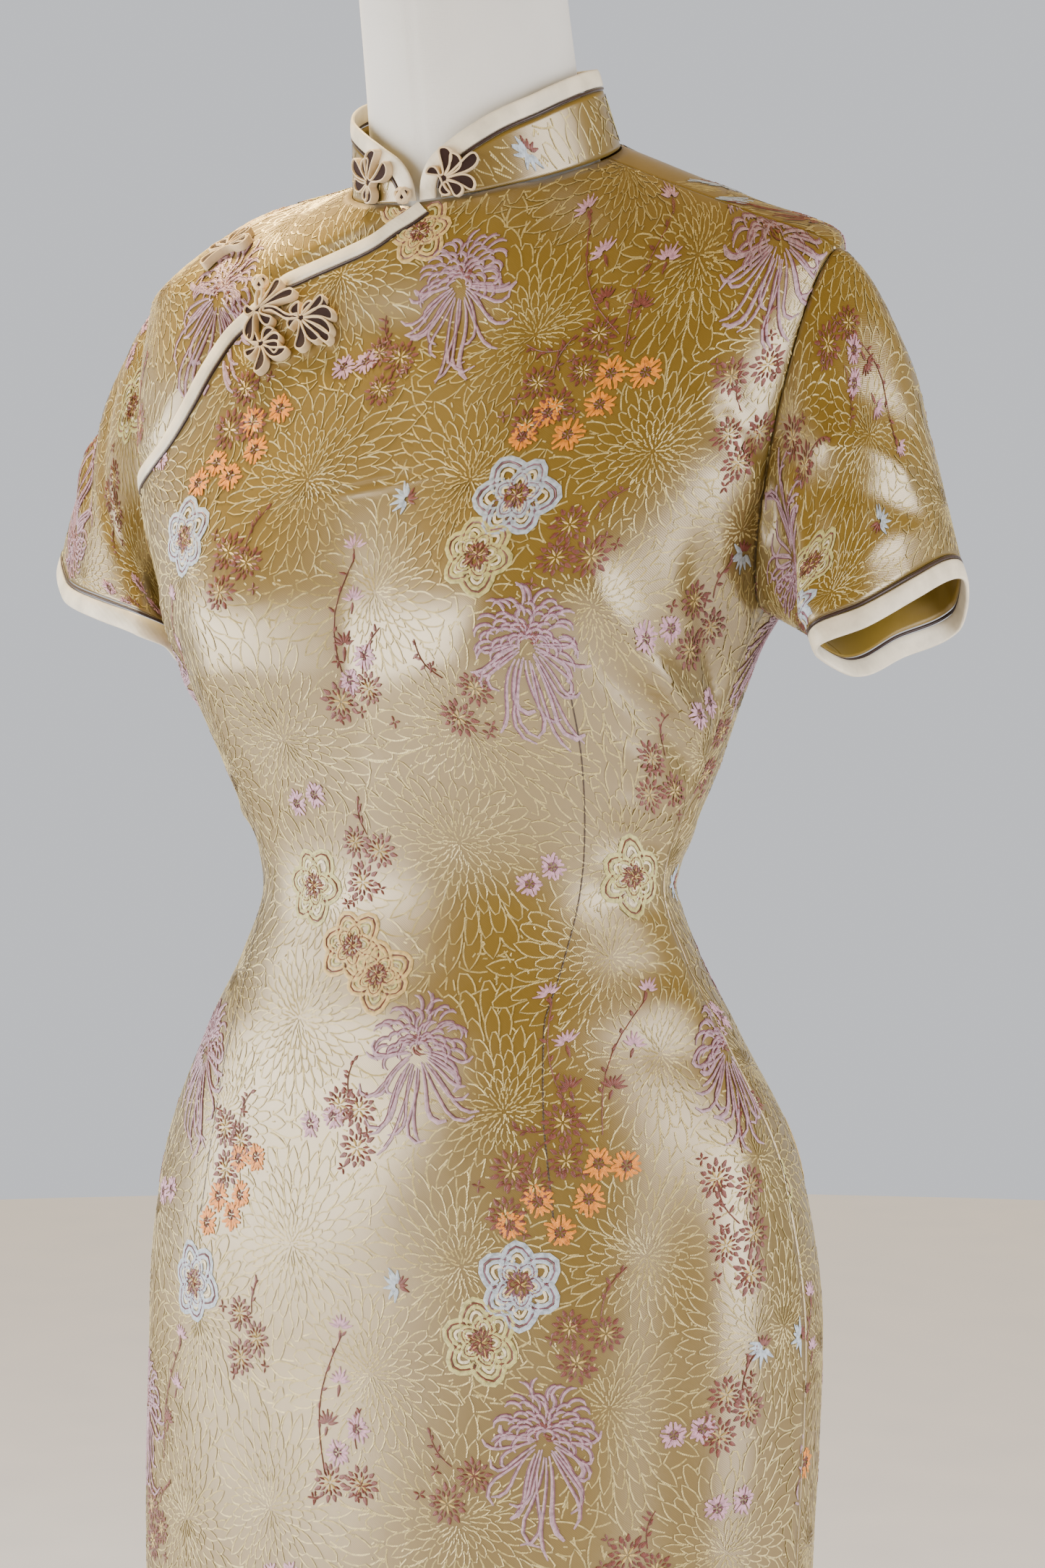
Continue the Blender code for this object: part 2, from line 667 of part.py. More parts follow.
def build_frogs():
    lift = 0.0006
    over_binding = BINDING_RISE + 0.0006
    strips = {
        "collar_frog_right": (collar, COLLAR_RIGHT_FLOWER, over_binding),
        "collar_frog_left": (collar, COLLAR_LEFT_FLOWER, over_binding),
        "opening_frog_upper": (dress, UPPER_FLOWER, lift),
        "opening_frog_inner": (dress, LOWER_FLOWERS[0], over_binding),
        "opening_frog_outer": (dress, LOWER_FLOWERS[1], lift),
        "opening_frog_lower": (dress, LOWER_FLOWERS[2], lift),
    }
    for name, strip in strips.items():
        add_object(name, flower_strip(name, *strip), "frog")
    add_object("collar_knot", ball("collar_knot", collar, COLLAR_KNOT, 0.0014), "frog")
    add_object("opening_knot", ball("opening_knot", dress, OPENING_KNOT, 0.0007), "frog")


def build_form():
    """The torso follows the dress from inside and carries it on the shoulders; the neck stands free."""
    turns = np.linspace(0, 2 * math.pi, 25)[:-1]
    heights = np.unique(np.round(np.concatenate([
        np.linspace(FORM_BOTTOM, ARMPIT_HEIGHT, 9), armhole_heights()[::2],
        sorted_heights(SHOULDER_TIP_HEIGHT, NECK_HEIGHT)[:-1]]), 6))
    rings = []
    for height in heights:
        at = np.full_like(turns, height)
        points, normal = dress(turns, at), normals(dress, turns, at)
        on_ridge = (np.abs(np.sin(turns)) > 0.99) * (height >= SHOULDER_TIP_HEIGHT - 1e-6)
        drop = FORM_CLEARANCE + (FORM_SEAT - FORM_CLEARANCE) * on_ridge
        rings.append(points - normal * drop[:, None])
    rings += [oval(ring, turns) for ring in NECK_RINGS]

    torso = bmesh.new()
    loops = []
    for ring in rings:
        corners = [torso.verts.new(point) for point in ring]
        loops.append([torso.edges.new((a, b)) for a, b in zip(corners, corners[1:] + corners[:1])])
    for lower, upper in zip(loops, loops[1:]):
        bmesh.ops.bridge_loops(torso, edges=lower + upper)
    bmesh.ops.holes_fill(torso, edges=torso.edges[:], sides=0)
    bmesh.ops.recalc_face_normals(torso, faces=torso.faces[:])
    mesh = bpy.data.meshes.new("form_body")
    torso.to_mesh(mesh)
    torso.free()
    add_object("form_body", mesh, "form_cloth")


def turned(name, outline, finish, segments=32):
    """A body of revolution about the pole's axis, from its outline of radius and height pairs."""
    body = bmesh.new()
    corners = [body.verts.new((radius, 0, height)) for radius, height in outline]
    edges = [body.edges.new(pair) for pair in zip(corners, corners[1:])]
    bmesh.ops.spin(body, geom=corners + edges, axis=(0, 0, 1), cent=(0, 0, 0), steps=segments,
                   angle=2 * math.pi, use_merge=True)
    bmesh.ops.remove_doubles(body, verts=body.verts[:], dist=1e-6)
    bmesh.ops.recalc_face_normals(body, faces=body.faces[:])
    mesh = bpy.data.meshes.new(name)
    body.to_mesh(mesh)
    body.free()
    return add_object(name, mesh, finish)


def build_stand():
    edge = 0.004
    floor_of_socket = BASE_THICKNESS + 0.001
    bore = POLE_RADIUS + SEAM_GAP
    turned("stand_base", [
        (0, 0), (BASE_RADIUS - edge, 0), (BASE_RADIUS, edge), (BASE_RADIUS, BASE_THICKNESS - edge),
        (BASE_RADIUS - edge, BASE_THICKNESS), (SOCKET_RADIUS + edge, BASE_THICKNESS),
        (SOCKET_RADIUS, BASE_THICKNESS + edge), (SOCKET_RADIUS, SOCKET_HEIGHT), (bore, SOCKET_HEIGHT),
        (bore, floor_of_socket), (0, floor_of_socket)], "stand_metal")
    low, high = floor_of_socket + SEAM_GAP, FORM_BOTTOM - SEAM_GAP
    turned("stand_pole", [(0, low), (POLE_RADIUS, low), (POLE_RADIUS, high), (0, high)], "stand_metal")


def main():
    clear_scene()
    build_front()
    build_under_front()
    build_back()
    build_sleeve("left", LEFT_HEM, 1)
    build_sleeve("right", RIGHT_HEM, -1)
    build_collar()
    build_frogs()
    build_form()
    build_stand()


main()
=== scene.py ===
"""Looks of a short-sleeved brocade cheongsam worn by a dress form, laid out as a Blender add-on.

Metres, +Z up. The dress faces -Y and the wearer's left is +X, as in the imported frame. The garment
surfaces repeat the named values of the part's source, so every cloth lies where its solid lies.
"""
import math
import random
from typing import NamedTuple

import bmesh
import bpy
import numpy as np
from bpy.props import FloatProperty, FloatVectorProperty, PointerProperty
from mathutils import Matrix, Vector


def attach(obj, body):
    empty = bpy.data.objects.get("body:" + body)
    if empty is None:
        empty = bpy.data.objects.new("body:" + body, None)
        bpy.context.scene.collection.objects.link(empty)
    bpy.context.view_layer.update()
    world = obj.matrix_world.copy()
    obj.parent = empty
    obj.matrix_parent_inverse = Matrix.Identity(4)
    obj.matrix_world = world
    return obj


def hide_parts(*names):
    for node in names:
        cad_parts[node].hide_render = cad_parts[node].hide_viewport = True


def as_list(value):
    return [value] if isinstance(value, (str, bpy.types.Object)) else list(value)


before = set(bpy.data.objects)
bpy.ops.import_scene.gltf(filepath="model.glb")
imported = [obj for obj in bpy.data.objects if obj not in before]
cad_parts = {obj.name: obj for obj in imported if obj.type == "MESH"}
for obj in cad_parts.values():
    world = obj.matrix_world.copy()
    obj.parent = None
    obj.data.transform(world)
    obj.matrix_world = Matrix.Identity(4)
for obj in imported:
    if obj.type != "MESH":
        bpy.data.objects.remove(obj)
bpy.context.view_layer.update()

bl_info = {
    "name": "Cheongsam on a dress form",
    "version": (1, 0, 0),
    "blender": (4, 5, 0),
    "location": "3D View > Sidebar > Cheongsam",
    "description": "Builds a brocade cheongsam with its bindings, frogs, dress form and stage",
    "category": "Object",
}

# Cloth and seams
WALL = 0.0012
SEAM_GAP = 0.0003
UNDERLAP = 0.0125
UNDERLAP_DROP = WALL + 0.0017

# Heights of the garment on the form
HEM_HEIGHT = 0.300
SLIT_TOP = 0.520
ARMPIT_HEIGHT = 1.137
SHOULDER_TIP_HEIGHT = 1.308
NECK_HEIGHT = 1.3680

# Binding and piping that finish the collar, the front opening and the cuffs
BINDING_WIDTH = 0.0090
BINDING_RISE = 0.0008
BINDING_THICKNESS = 0.0020
PIPING_RADIUS = 0.0008
PIPING_CENTRE = BINDING_WIDTH + SEAM_GAP + PIPING_RADIUS
CLOTH_INSET = PIPING_CENTRE + PIPING_RADIUS + SEAM_GAP

# Armhole
ARMHOLE_FRONT = 0.031
ARMHOLE_BACK = 0.045
ARMHOLE_MIDDLE = (SHOULDER_TIP_HEIGHT + ARMPIT_HEIGHT) / 2
ARMHOLE_REACH = (SHOULDER_TIP_HEIGHT - ARMPIT_HEIGHT) / 2
OPENING_END = ARMHOLE_MIDDLE

# Collar
COLLAR_LIFT = 0.0004
COLLAR_FOOT = 0.004
COLLAR_END_DEGREES = 0.8

# Dress form and stand
FORM_CLEARANCE = 0.0075
FORM_SEAT = WALL + 0.0008
FORM_BOTTOM = 0.760
POLE_RADIUS = 0.014
BASE_RADIUS = 0.170
BASE_THICKNESS = 0.014
SOCKET_RADIUS = 0.024
SOCKET_HEIGHT = 0.055


class Row(NamedTuple):
    """One girth of the dress: an oval whose front part may lie lower than its side points."""
    height: float
    half_width: float
    front: float
    back: float
    side_line: float
    tilt: float
    square: float


DRESS_ROWS = (
    Row(HEM_HEIGHT, 0.170, 0.117, 0.122, 0.004, 0.00, 2.0),
    Row(0.500, 0.177, 0.121, 0.126, 0.004, 0.00, 2.0),
    Row(0.650, 0.182, 0.123, 0.129, 0.003, 0.00, 2.0),
    Row(0.780, 0.185, 0.123, 0.132, 0.009, 0.00, 2.0),
    Row(0.860, 0.174, 0.119, 0.126, 0.008, 0.00, 2.0),
    Row(0.930, 0.143, 0.107, 0.103, 0.002, 0.00, 2.0),
    Row(0.965, 0.124, 0.095, 0.092, 0.001, 0.00, 2.0),
    Row(1.000, 0.112, 0.088, 0.087, 0.001, 0.00, 2.0),
    Row(1.060, 0.133, 0.100, 0.098, 0.004, 0.00, 2.0),
    Row(1.115, 0.154, 0.108, 0.108, 0.005, 0.04, 2.0),
    Row(ARMPIT_HEIGHT, 0.166, 0.108, 0.109, 0.005, 0.07, 2.1),
    Row(1.170, 0.176, 0.105, 0.108, 0.005, 0.12, 2.4),
    Row(1.210, 0.185, 0.100, 0.106, 0.005, 0.20, 2.7),
    Row(1.270, 0.196, 0.088, 0.100, 0.008, 0.32, 2.6),
    Row(SHOULDER_TIP_HEIGHT, 0.199, 0.080, 0.088, 0.012, 0.40, 2.2),
    Row(1.332, 0.152, 0.078, 0.082, 0.014, 0.41, 2.0),
    Row(1.352, 0.106, 0.074, 0.076, 0.017, 0.41, 2.0),
    Row(NECK_HEIGHT, 0.0705, 0.0665, 0.0675, 0.0186, 0.400, 2.0),
)


class BustShape(NamedTuple):
    """The fullness that the bust darts give each side of the front."""
    apart: float = 0.085
    height: float = 1.118
    width: float = 0.062
    above: float = 0.085
    below: float = 0.055
    depth: float = 0.030


class ShoulderRise(NamedTuple):
    """How the right shoulder is lifted: by how much, how far out, how widely and from what height."""
    height: float = 0.021
    apart: float = 0.150
    width: float = 0.060
    below: float = 1.240


BUST = BustShape()
SHOULDER_RISE = ShoulderRise()

# Where the finished edge of the front opening crosses each girth, towards the wearer's right
OPENING = (
    (1.2220, -0.1820), (1.2360, -0.1600), (1.2500, -0.1430), (1.2680, -0.1280), (1.2840, -0.1180),
    (1.2990, -0.1090), (1.3120, -0.0980), (1.3225, -0.0880), (1.3325, -0.0790), (1.3400, -0.0640),
    (1.3500, -0.0380), (1.3550, -0.0240), (1.3605, -0.0140), (1.3645, -0.0055), (NECK_HEIGHT, 0.0000),
)

# How high the collar stands at each angle from the centre front, as a share of its full height
COLLAR_FALL = (
    (COLLAR_END_DEGREES, 0.0), (1.4, 0.13), (3.0, 0.25), (8.0, 0.41), (14.0, 0.50), (25.0, 0.63),
    (40.0, 0.76), (55.0, 0.84), (70.0, 0.92), (85.0, 0.975), (100.0, 1.0), (180.0, 1.0),
)


class Ring(NamedTuple):
    """A tilted oval of the collar or of the form's neck."""
    height: float
    half_width: float
    half_depth: float
    centre: float
    tilt: float


COLLAR_BASE = Ring(NECK_HEIGHT + COLLAR_LIFT, 0.0702, 0.0667, 0.0186, 0.400)
COLLAR_TOP = Ring(1.4100, 0.0628, 0.0628, 0.0066, 0.285)

NECK_RINGS = (
    Ring(1.3620, 0.0600, 0.0585, 0.0180, 0.38),
    Ring(1.3850, 0.0555, 0.0550, 0.0100, 0.28),
    Ring(1.4250, 0.0535, 0.0535, 0.0010, 0.22),
    Ring(1.4700, 0.0525, 0.0530, -0.0080, 0.12),
    Ring(1.5050, 0.0520, 0.0525, -0.0140, 0.00),
)

# Each sleeve's finished hem: the turn in degrees from the shoulder tip forwards, then the point
LEFT_HEM = (
    (0, (0.260, 0.020, 1.148)), (50, (0.255, -0.020, 1.137)), (90, (0.241, -0.045, 1.123)),
    (125, (0.223, -0.055, 1.115)), (155, (0.214, -0.034, 1.109)), (185, (0.219, -0.006, 1.102)),
    (240, (0.225, 0.035, 1.112)), (300, (0.241, 0.064, 1.125)), (330, (0.253, 0.046, 1.140)),
)
RIGHT_HEM = (
    (0, (-0.270, 0.010, 1.172)), (50, (-0.246, -0.020, 1.152)), (90, (-0.201, -0.045, 1.138)),
    (115, (-0.176, -0.048, 1.130)), (145, (-0.166, -0.038, 1.124)), (185, (-0.180, -0.006, 1.117)),
    (230, (-0.196, 0.025, 1.128)), (280, (-0.230, 0.036, 1.147)), (325, (-0.260, 0.030, 1.166)),
)


class Frog(NamedTuple):
    """A looped frog flower: its middle on the surface, its lift, and each petal's direction and length."""
    replaced: str
    angle: float
    height: float
    lift: float
    petals: tuple


COLLAR_FROGS = (
    Frog("collar_frog_right", -23.0, 0.21, 0.0014,
         ((93, 16), (118, 12), (152, 18), (-161, 13), (-120, 9), (-78, 10), (15, 15))),
    Frog("collar_frog_left", 13.5, 0.17, 0.0014,
         ((132, 9), (72, 15), (36, 13), (20, 19), (-8, 15), (-42, 11), (-102, 8))),
)
OPENING_FROGS = (
    Frog("opening_frog_upper", -55.0, 1.3310, 0.0006,
         ((40, 13), (72, 12), (104, 15), (140, 14), (178, 11), (215, 13), (250, 15))),
    Frog("opening_frog_inner", -24.2, 1.3134, 0.0014,
         ((84, 17), (54, 20), (-36, 11), (-118, 18), (-157, 9))),
    Frog("opening_frog_outer", -15.2, 1.3132, 0.0006,
         ((94, 9), (48, 14), (26, 19), (-4, 19), (-26, 20), (-58, 15), (-86, 17), (-165, 9), (150, 11))),
    Frog("opening_frog_lower", -20.1, 1.2971, 0.0006,
         ((92, 10), (46, 11), (8, 12), (-24, 17), (-58, 16), (-122, 10), (165, 11))),
)
COLLAR_KNOT = (-4.0, 0.06, 0.0014)
OPENING_KNOT = (-31.0, 1.3250, 0.0007)
KNOT_RADIUS = 0.0045

# Camera of the photograph
IMAGE_SIZE = (1445, 2168)
CAMERA_AZIMUTH = 30.0
CAMERA_DISTANCE = 1.49
CAMERA_SHIFT = 0.028
CAMERA_HEIGHT = 1.051
FOCAL_PIXELS = 4017


def profile(stations, values):
    """A smooth curve through the values that never overshoots them."""
    x, y = np.array(stations, float), np.array(values, float)
    step = np.diff(x)
    slope = np.diff(y) / step
    tangent = np.zeros(len(x))
    tangent[0], tangent[-1] = slope[0], slope[-1]
    for i in range(1, len(x) - 1):
        if slope[i - 1] * slope[i] > 0:
            before, after = 2 * step[i] + step[i - 1], step[i] + 2 * step[i - 1]
            tangent[i] = (before + after) / (before / slope[i - 1] + after / slope[i])

    def at(t):
        t = np.asarray(t, float)
        k = np.clip(np.searchsorted(x, t, side="right") - 1, 0, len(x) - 2)
        s = (t - x[k]) / step[k]
        rise = s * s * (3 - 2 * s)
        return (y[k] * (1 - rise) + y[k + 1] * rise
                + step[k] * (tangent[k] * s * (1 - s) ** 2 - tangent[k + 1] * s * s * (1 - s)))

    return at


GIRTH = {field: profile([row.height for row in DRESS_ROWS], [getattr(row, field) for row in DRESS_ROWS])
         for field in Row._fields if field != "height"}
OPENING_SIDE = profile([height for height, _ in OPENING], [side for _, side in OPENING])
COLLAR_SHARE = profile(*zip(*COLLAR_FALL))


def fade(value, start, end):
    """0 before start and 1 after end, with a smooth change between."""
    t = np.clip((np.asarray(value, float) - start) / (end - start), 0, 1)
    return t * t * (3 - 2 * t)


def bust_fullness(side, height):
    spread = np.where(height > BUST.height, BUST.above, BUST.below)
    across = np.exp(-((np.abs(side) - BUST.apart) / BUST.width) ** 2)
    return BUST.depth * across * np.exp(-((height - BUST.height) / spread) ** 2)


def shoulder_rise(side, height):
    across = np.exp(-((side + SHOULDER_RISE.apart) / SHOULDER_RISE.width) ** 2)
    return SHOULDER_RISE.height * across * fade(height, SHOULDER_RISE.below, SHOULDER_TIP_HEIGHT)


def signed_power(value, power):
    return np.sign(value) * np.abs(value) ** power


def dress(angle, height):
    """The dress's outer face. Angle 0 is the centre front and 90 degrees the wearer's left side."""
    angle, height = np.broadcast_arrays(np.asarray(angle, float), np.asarray(height, float))
    power = 2 / GIRTH["square"](height)
    facing = np.cos(angle)
    side = GIRTH["half_width"](height) * signed_power(np.sin(angle), power)
    depth = np.where(facing > 0, GIRTH["front"](height), GIRTH["back"](height))
    from_side_line = -depth * signed_power(facing, power)
    from_side_line = from_side_line - bust_fullness(side, height) * np.sqrt(np.clip(facing, 0, 1))
    level = height + GIRTH["tilt"](height) * from_side_line + shoulder_rise(side, height)
    return np.stack([side, GIRTH["side_line"](height) + from_side_line, level], -1)


def oval(ring_values, angle):
    height, half_width, half_depth, centre, tilt = ring_values
    away = -half_depth * np.cos(angle)
    return np.stack([half_width * np.sin(angle), centre + away, height + tilt * away], -1)


def collar(angle, rise):
    """The stand collar's outer face. Rise is 0 on the neckline and 1 at the full height."""
    angle, rise = np.broadcast_arrays(np.asarray(angle, float), np.asarray(rise, float))
    return oval([low + (high - low) * rise for low, high in zip(COLLAR_BASE, COLLAR_TOP)], angle)


def armhole_angle(height, reach):
    """The angle of the armhole's edge on a girth, for an edge that far from the side line."""
    spread = np.sqrt(np.clip(1 - ((height - ARMHOLE_MIDDLE) / ARMHOLE_REACH) ** 2, 0, 1))
    depth = GIRTH["front"](height) if reach == ARMHOLE_FRONT else GIRTH["back"](height)
    return np.arccos(np.clip(reach * spread / depth, 0, 1) ** (GIRTH["square"](height) / 2))


def armhole_edge(turn, side):
    """A point of the armhole's edge. Turn 0 is the shoulder tip and a quarter turn its front."""
    height = ARMHOLE_MIDDLE + ARMHOLE_REACH * np.cos(turn)
    front = armhole_angle(height, ARMHOLE_FRONT)
    back = math.pi - armhole_angle(height, ARMHOLE_BACK)
    return dress(side * np.where(np.sin(turn) >= 0, front, back), height)


def closed_profile(stops):
    """A smooth loop through points given at their turns in degrees."""
    turns = np.radians([turn for turn, _ in stops])
    points = np.array([point for _, point in stops])
    turns = np.concatenate([turns - 2 * math.pi, turns, turns + 2 * math.pi])
    columns = [profile(turns, np.tile(points[:, axis], 3)) for axis in range(3)]
    return lambda turn: np.stack([column(turn) for column in columns], -1)


def sleeve(hem, side):
    """A sleeve's outer face, by the turn round it and the way along it from armhole to hem."""
    hem_point = closed_profile(hem)

    def surface(turn, along):
        turn, along = np.broadcast_arrays(np.asarray(turn, float), np.asarray(along, float))
        start, end = armhole_edge(turn, side), hem_point(turn % (2 * math.pi))
        length = np.linalg.norm(end - start, axis=-1, keepdims=True)
        top = (1 + np.cos(turn)[..., None]) / 2
        leave = (top * np.array([side * 0.55, 0.0, -0.42]) + (1 - top) * np.array([side * 0.70, 0.0, -0.45]))
        leave = leave + np.sin(turn)[..., None] * np.array([0.0, -0.15, 0.0])
        arrive = np.array([side * 0.22, 0.0, -0.75]) * length
        start = start + 2 * SEAM_GAP * leave / np.linalg.norm(leave, axis=-1, keepdims=True)
        leave = leave * length
        t = along[..., None]
        return (start * (1 - t) ** 2 * (1 + 2 * t) + leave * t * (1 - t) ** 2
                + end * t * t * (3 - 2 * t) - arrive * t * t * (1 - t))

    return surface


def tangents(surface, u, v, step=1e-4):
    across = (surface(u + step, v) - surface(u - step, v)) / (2 * step)
    along = (surface(u, v + step) - surface(u, v - step)) / (2 * step)
    return across, along


def normals(surface, u, v, outward=1):
    normal = np.cross(*tangents(surface, u, v)) * outward
    return normal / np.linalg.norm(normal, axis=-1, keepdims=True)


def inset(surface, edge, distance, outward=1):
    """Moves a curve of surface coordinates sideways over the surface by a real distance."""
    edge = np.asarray(edge, float)
    points = surface(edge[:, 0], edge[:, 1])
    run = np.gradient(points, axis=0)
    across, along = tangents(surface, edge[:, 0], edge[:, 1])
    sideways = np.cross(normals(surface, edge[:, 0], edge[:, 1], outward), run)
    sideways *= distance / np.linalg.norm(sideways, axis=1, keepdims=True)
    moved = [np.linalg.lstsq(np.stack([a, b], 1), way, rcond=None)[0]
             for a, b, way in zip(across, along, sideways)]
    return edge + np.array(moved)


def side_angle(height, reach):
    """The angle of a panel's edge at slit, side seam, armhole or shoulder."""
    height = np.asarray(height, float)
    on_armhole = (height > ARMPIT_HEIGHT) & (height < SHOULDER_TIP_HEIGHT)
    edge = np.where(on_armhole, armhole_angle(height, reach), math.pi / 2)
    slit = 0.006 * fade(SLIT_TOP - height, 0, SLIT_TOP - HEM_HEIGHT)
    across, _ = tangents(dress, edge, height)
    return edge - (SEAM_GAP + slit) / np.linalg.norm(across, axis=-1)


def opening_line(count):
    """The finished edge of the front opening, from the armhole to the neck, evenly spaced."""
    heights = np.linspace(OPENING_END, NECK_HEIGHT, 400)
    side = OPENING_SIDE(heights) / GIRTH["half_width"](heights)
    angles = np.arcsin(np.clip(signed_power(side, GIRTH["square"](heights) / 2), -1, 1))
    points = dress(angles, heights)
    run = np.concatenate([[0], np.cumsum(np.linalg.norm(np.diff(points, axis=0), axis=1))])
    even = np.linspace(0, run[-1], count)
    return np.stack([np.interp(even, run, angles), np.interp(even, run, heights)], 1)


def boundary(line):
    """The angle at each height of a line of surface coordinates whose heights rise."""
    heights = np.maximum.accumulate(line[:, 1]) + np.arange(len(line)) * 1e-9
    return lambda height: np.interp(height, heights, line[:, 0])


OPENING_LINE = opening_line(90)
OPENING_INNER = inset(dress, OPENING_LINE, -CLOTH_INSET)
OPENING_INNER[:, 1] = np.minimum(OPENING_INNER[:, 1], NECK_HEIGHT - SEAM_GAP)
OPENING_UNDER = inset(dress, OPENING_LINE, -UNDERLAP)
OPENING_UNDER[:, 1] = np.minimum(OPENING_UNDER[:, 1], NECK_HEIGHT - SEAM_GAP)
NOTCH = np.array([[0.004, NECK_HEIGHT - SEAM_GAP]])
FRONT_RIGHT = boundary(np.concatenate([OPENING_INNER, NOTCH]))
UNDER_INNER = boundary(np.concatenate([OPENING_UNDER, NOTCH]))
FRONT_NOTCH_HEIGHT = OPENING_INNER[0, 1]


def sample(table, row, column):
    """Reads a regular table between its rows and columns."""
    row = np.clip(row, 0, table.shape[0] - 1.001)
    column = np.clip(column, 0, table.shape[1] - 1.001)
    i, j = row.astype(int), column.astype(int)
    a, b = row - i, column - j
    low = table[i, j] * (1 - b) + table[i, j + 1] * b
    high = table[i + 1, j] * (1 - b) + table[i + 1, j + 1] * b
    return low * (1 - a) + high * a


class Lay:
    """Distances over a worn cloth, measured from its grain line, and the way back to the surface."""

    def __init__(self, surface, u_range, v_range, grain, columns=361, rows=280):
        self.u, self.v = np.linspace(*u_range, columns), np.linspace(*v_range, rows)
        points = surface(self.u[None, :], self.v[:, None])
        steps = np.linalg.norm(np.diff(points, axis=1), axis=-1)
        across = np.concatenate([np.zeros((rows, 1)), np.cumsum(steps, axis=1)], axis=1)
        middle = np.array([np.interp(grain, self.u, line) for line in across])
        self.across = across - middle[:, None]
        spine = surface(np.full(rows, grain), self.v)
        self.up = np.concatenate([[0], np.cumsum(np.linalg.norm(np.diff(spine, axis=0), axis=1))])
        self.reach = np.linspace(self.across.min(), self.across.max(), 2 * columns)
        self.back = np.array([np.interp(self.reach, line, self.u) for line in self.across])

    def flat(self, u, v):
        """The flat place of a point of the surface."""
        row = np.interp(v, self.v, np.arange(len(self.v)))
        column = np.interp(u, self.u, np.arange(len(self.u)))
        return sample(self.across, row, column), np.interp(v, self.v, self.up)

    def worn(self, across, up):
        """The surface coordinates of a point of the flat cloth."""
        row = np.interp(up, self.up, np.arange(len(self.up)))
        column = np.interp(across, self.reach, np.arange(len(self.reach)))
        return sample(self.back, row, column), np.interp(up, self.up, self.v)


class Crease(NamedTuple):
    """A soft fold of the worn cloth: a ridge, or a hollow if its height is negative, in flat millimetres."""
    start: tuple
    end: tuple
    width: float
    height: float


def crease_height(creases, across, up):
    """How far the folds lift the cloth at each flat place."""
    rise = np.zeros(np.shape(across))
    for crease in creases:
        a, b = np.array(crease.start) / 1000, np.array(crease.end) / 1000
        run = b - a
        x, y = across - a[0], up - a[1]
        along = (x * run[0] + y * run[1]) / (run @ run)
        aside = (x * run[1] - y * run[0]) / math.hypot(*run)
        beyond = np.maximum(np.maximum(-along, along - 1), 0) * math.hypot(*run)
        width = crease.width / 1000
        taper = np.exp(-(beyond / (2.2 * width)) ** 2)
        rise += crease.height / 1000 * np.exp(-(aside / width) ** 2) * taper
    return rise


class Cloth:
    """A worn cloth: its surface with folds, its flat lay, its grid of surface coordinates and its outline.

    Still is 0 on the seams, where the folds end, and 1 away from them."""

    def __init__(self, surface, lay, grid, inside, outward=1, creases=(), drop=None, still=None):
        self.surface, self.lay, self.grid = surface, lay, grid
        self.inside, self.outward, self.creases, self.drop, self.still = inside, outward, creases, drop, still

    def face(self, u, v, lift=0.0):
        """Points of the worn cloth's outer face, lifted from it."""
        rise = np.broadcast_to(np.asarray(lift, float), np.shape(u)).copy()
        if self.creases:
            rise += crease_height(self.creases, *self.lay.flat(u, v)) * self.still(u, v)
        if self.drop:
            rise += self.drop(u, v)
        return self.surface(u, v) + normals(self.surface, u, v, self.outward) * rise[..., None]


FRONT_CREASES = (
    Crease((136, 842), (168, 804), 9, 3.6),
    Crease((168, 804), (208, 764), 8, 3.2),
    Crease((186, 848), (206, 806), 8, -3.0),
    Crease((206, 806), (224, 776), 7, -2.6),
    Crease((146, 802), (184, 756), 7, -2.6),
    Crease((138, 768), (176, 742), 6, 2.0),
    Crease((200, 854), (226, 824), 6, 2.2),
    Crease((180, 732), (130, 744), 5, 2.0),
    Crease((178, 719), (128, 729), 4.5, -1.8),
    Crease((172, 705), (120, 713), 5, 1.8),
    Crease((162, 692), (124, 697), 5, -1.3),
    Crease((170, 928), (206, 890), 7, 3.0),
    Crease((186, 924), (214, 892), 5.5, -2.6),
    Crease((-150, 842), (-172, 804), 9, 3.0),
    Crease((-172, 804), (-206, 768), 8, 2.6),
    Crease((-190, 848), (-208, 806), 8, -2.6),
    Crease((-150, 800), (-184, 758), 7, -2.2),
    Crease((-176, 730), (-128, 740), 5, 1.8),
    Crease((-174, 716), (-122, 724), 5, -1.6),
    Crease((214, 640), (160, 648), 9, 1.4),
    Crease((226, 610), (150, 626), 10, -1.2),
    Crease((196, 560), (190, 330), 22, 3.2),
    Crease((158, 520), (156, 300), 20, -2.4),
    Crease((118, 480), (112, 200), 20, 1.6),
    Crease((-170, 540), (-176, 280), 22, 2.6),
    Crease((-10, 420), (-6, 120), 40, 1.8),
    Crease((-70, 560), (-60, 380), 30, -1.6),
    Crease((70, 1038), (100, 1000), 12, -2.0),
    Crease((52, 1040), (60, 985), 14, 1.8),
    Crease((20, 560), (60, 600), 26, 1.6),
    Crease((-12, 900), (-12, 830), 34, 2.6),
    Crease((-60, 640), (20, 620), 18, -1.4),
)
BACK_CREASES = (
    Crease((-160, 742), (-90, 722), 7, 1.6),
    Crease((160, 742), (90, 722), 7, 1.6),
    Crease((-170, 716), (-80, 700), 6, -1.4),
    Crease((170, 716), (80, 700), 6, -1.4),
    Crease((-100, 700), (100, 694), 8, 1.0),
    Crease((-190, 880), (-130, 820), 10, 2.0),
    Crease((190, 880), (130, 820), 10, 2.0),
    Crease((-60, 480), (-64, 120), 30, 1.6),
    Crease((80, 480), (84, 120), 30, 1.6),
)
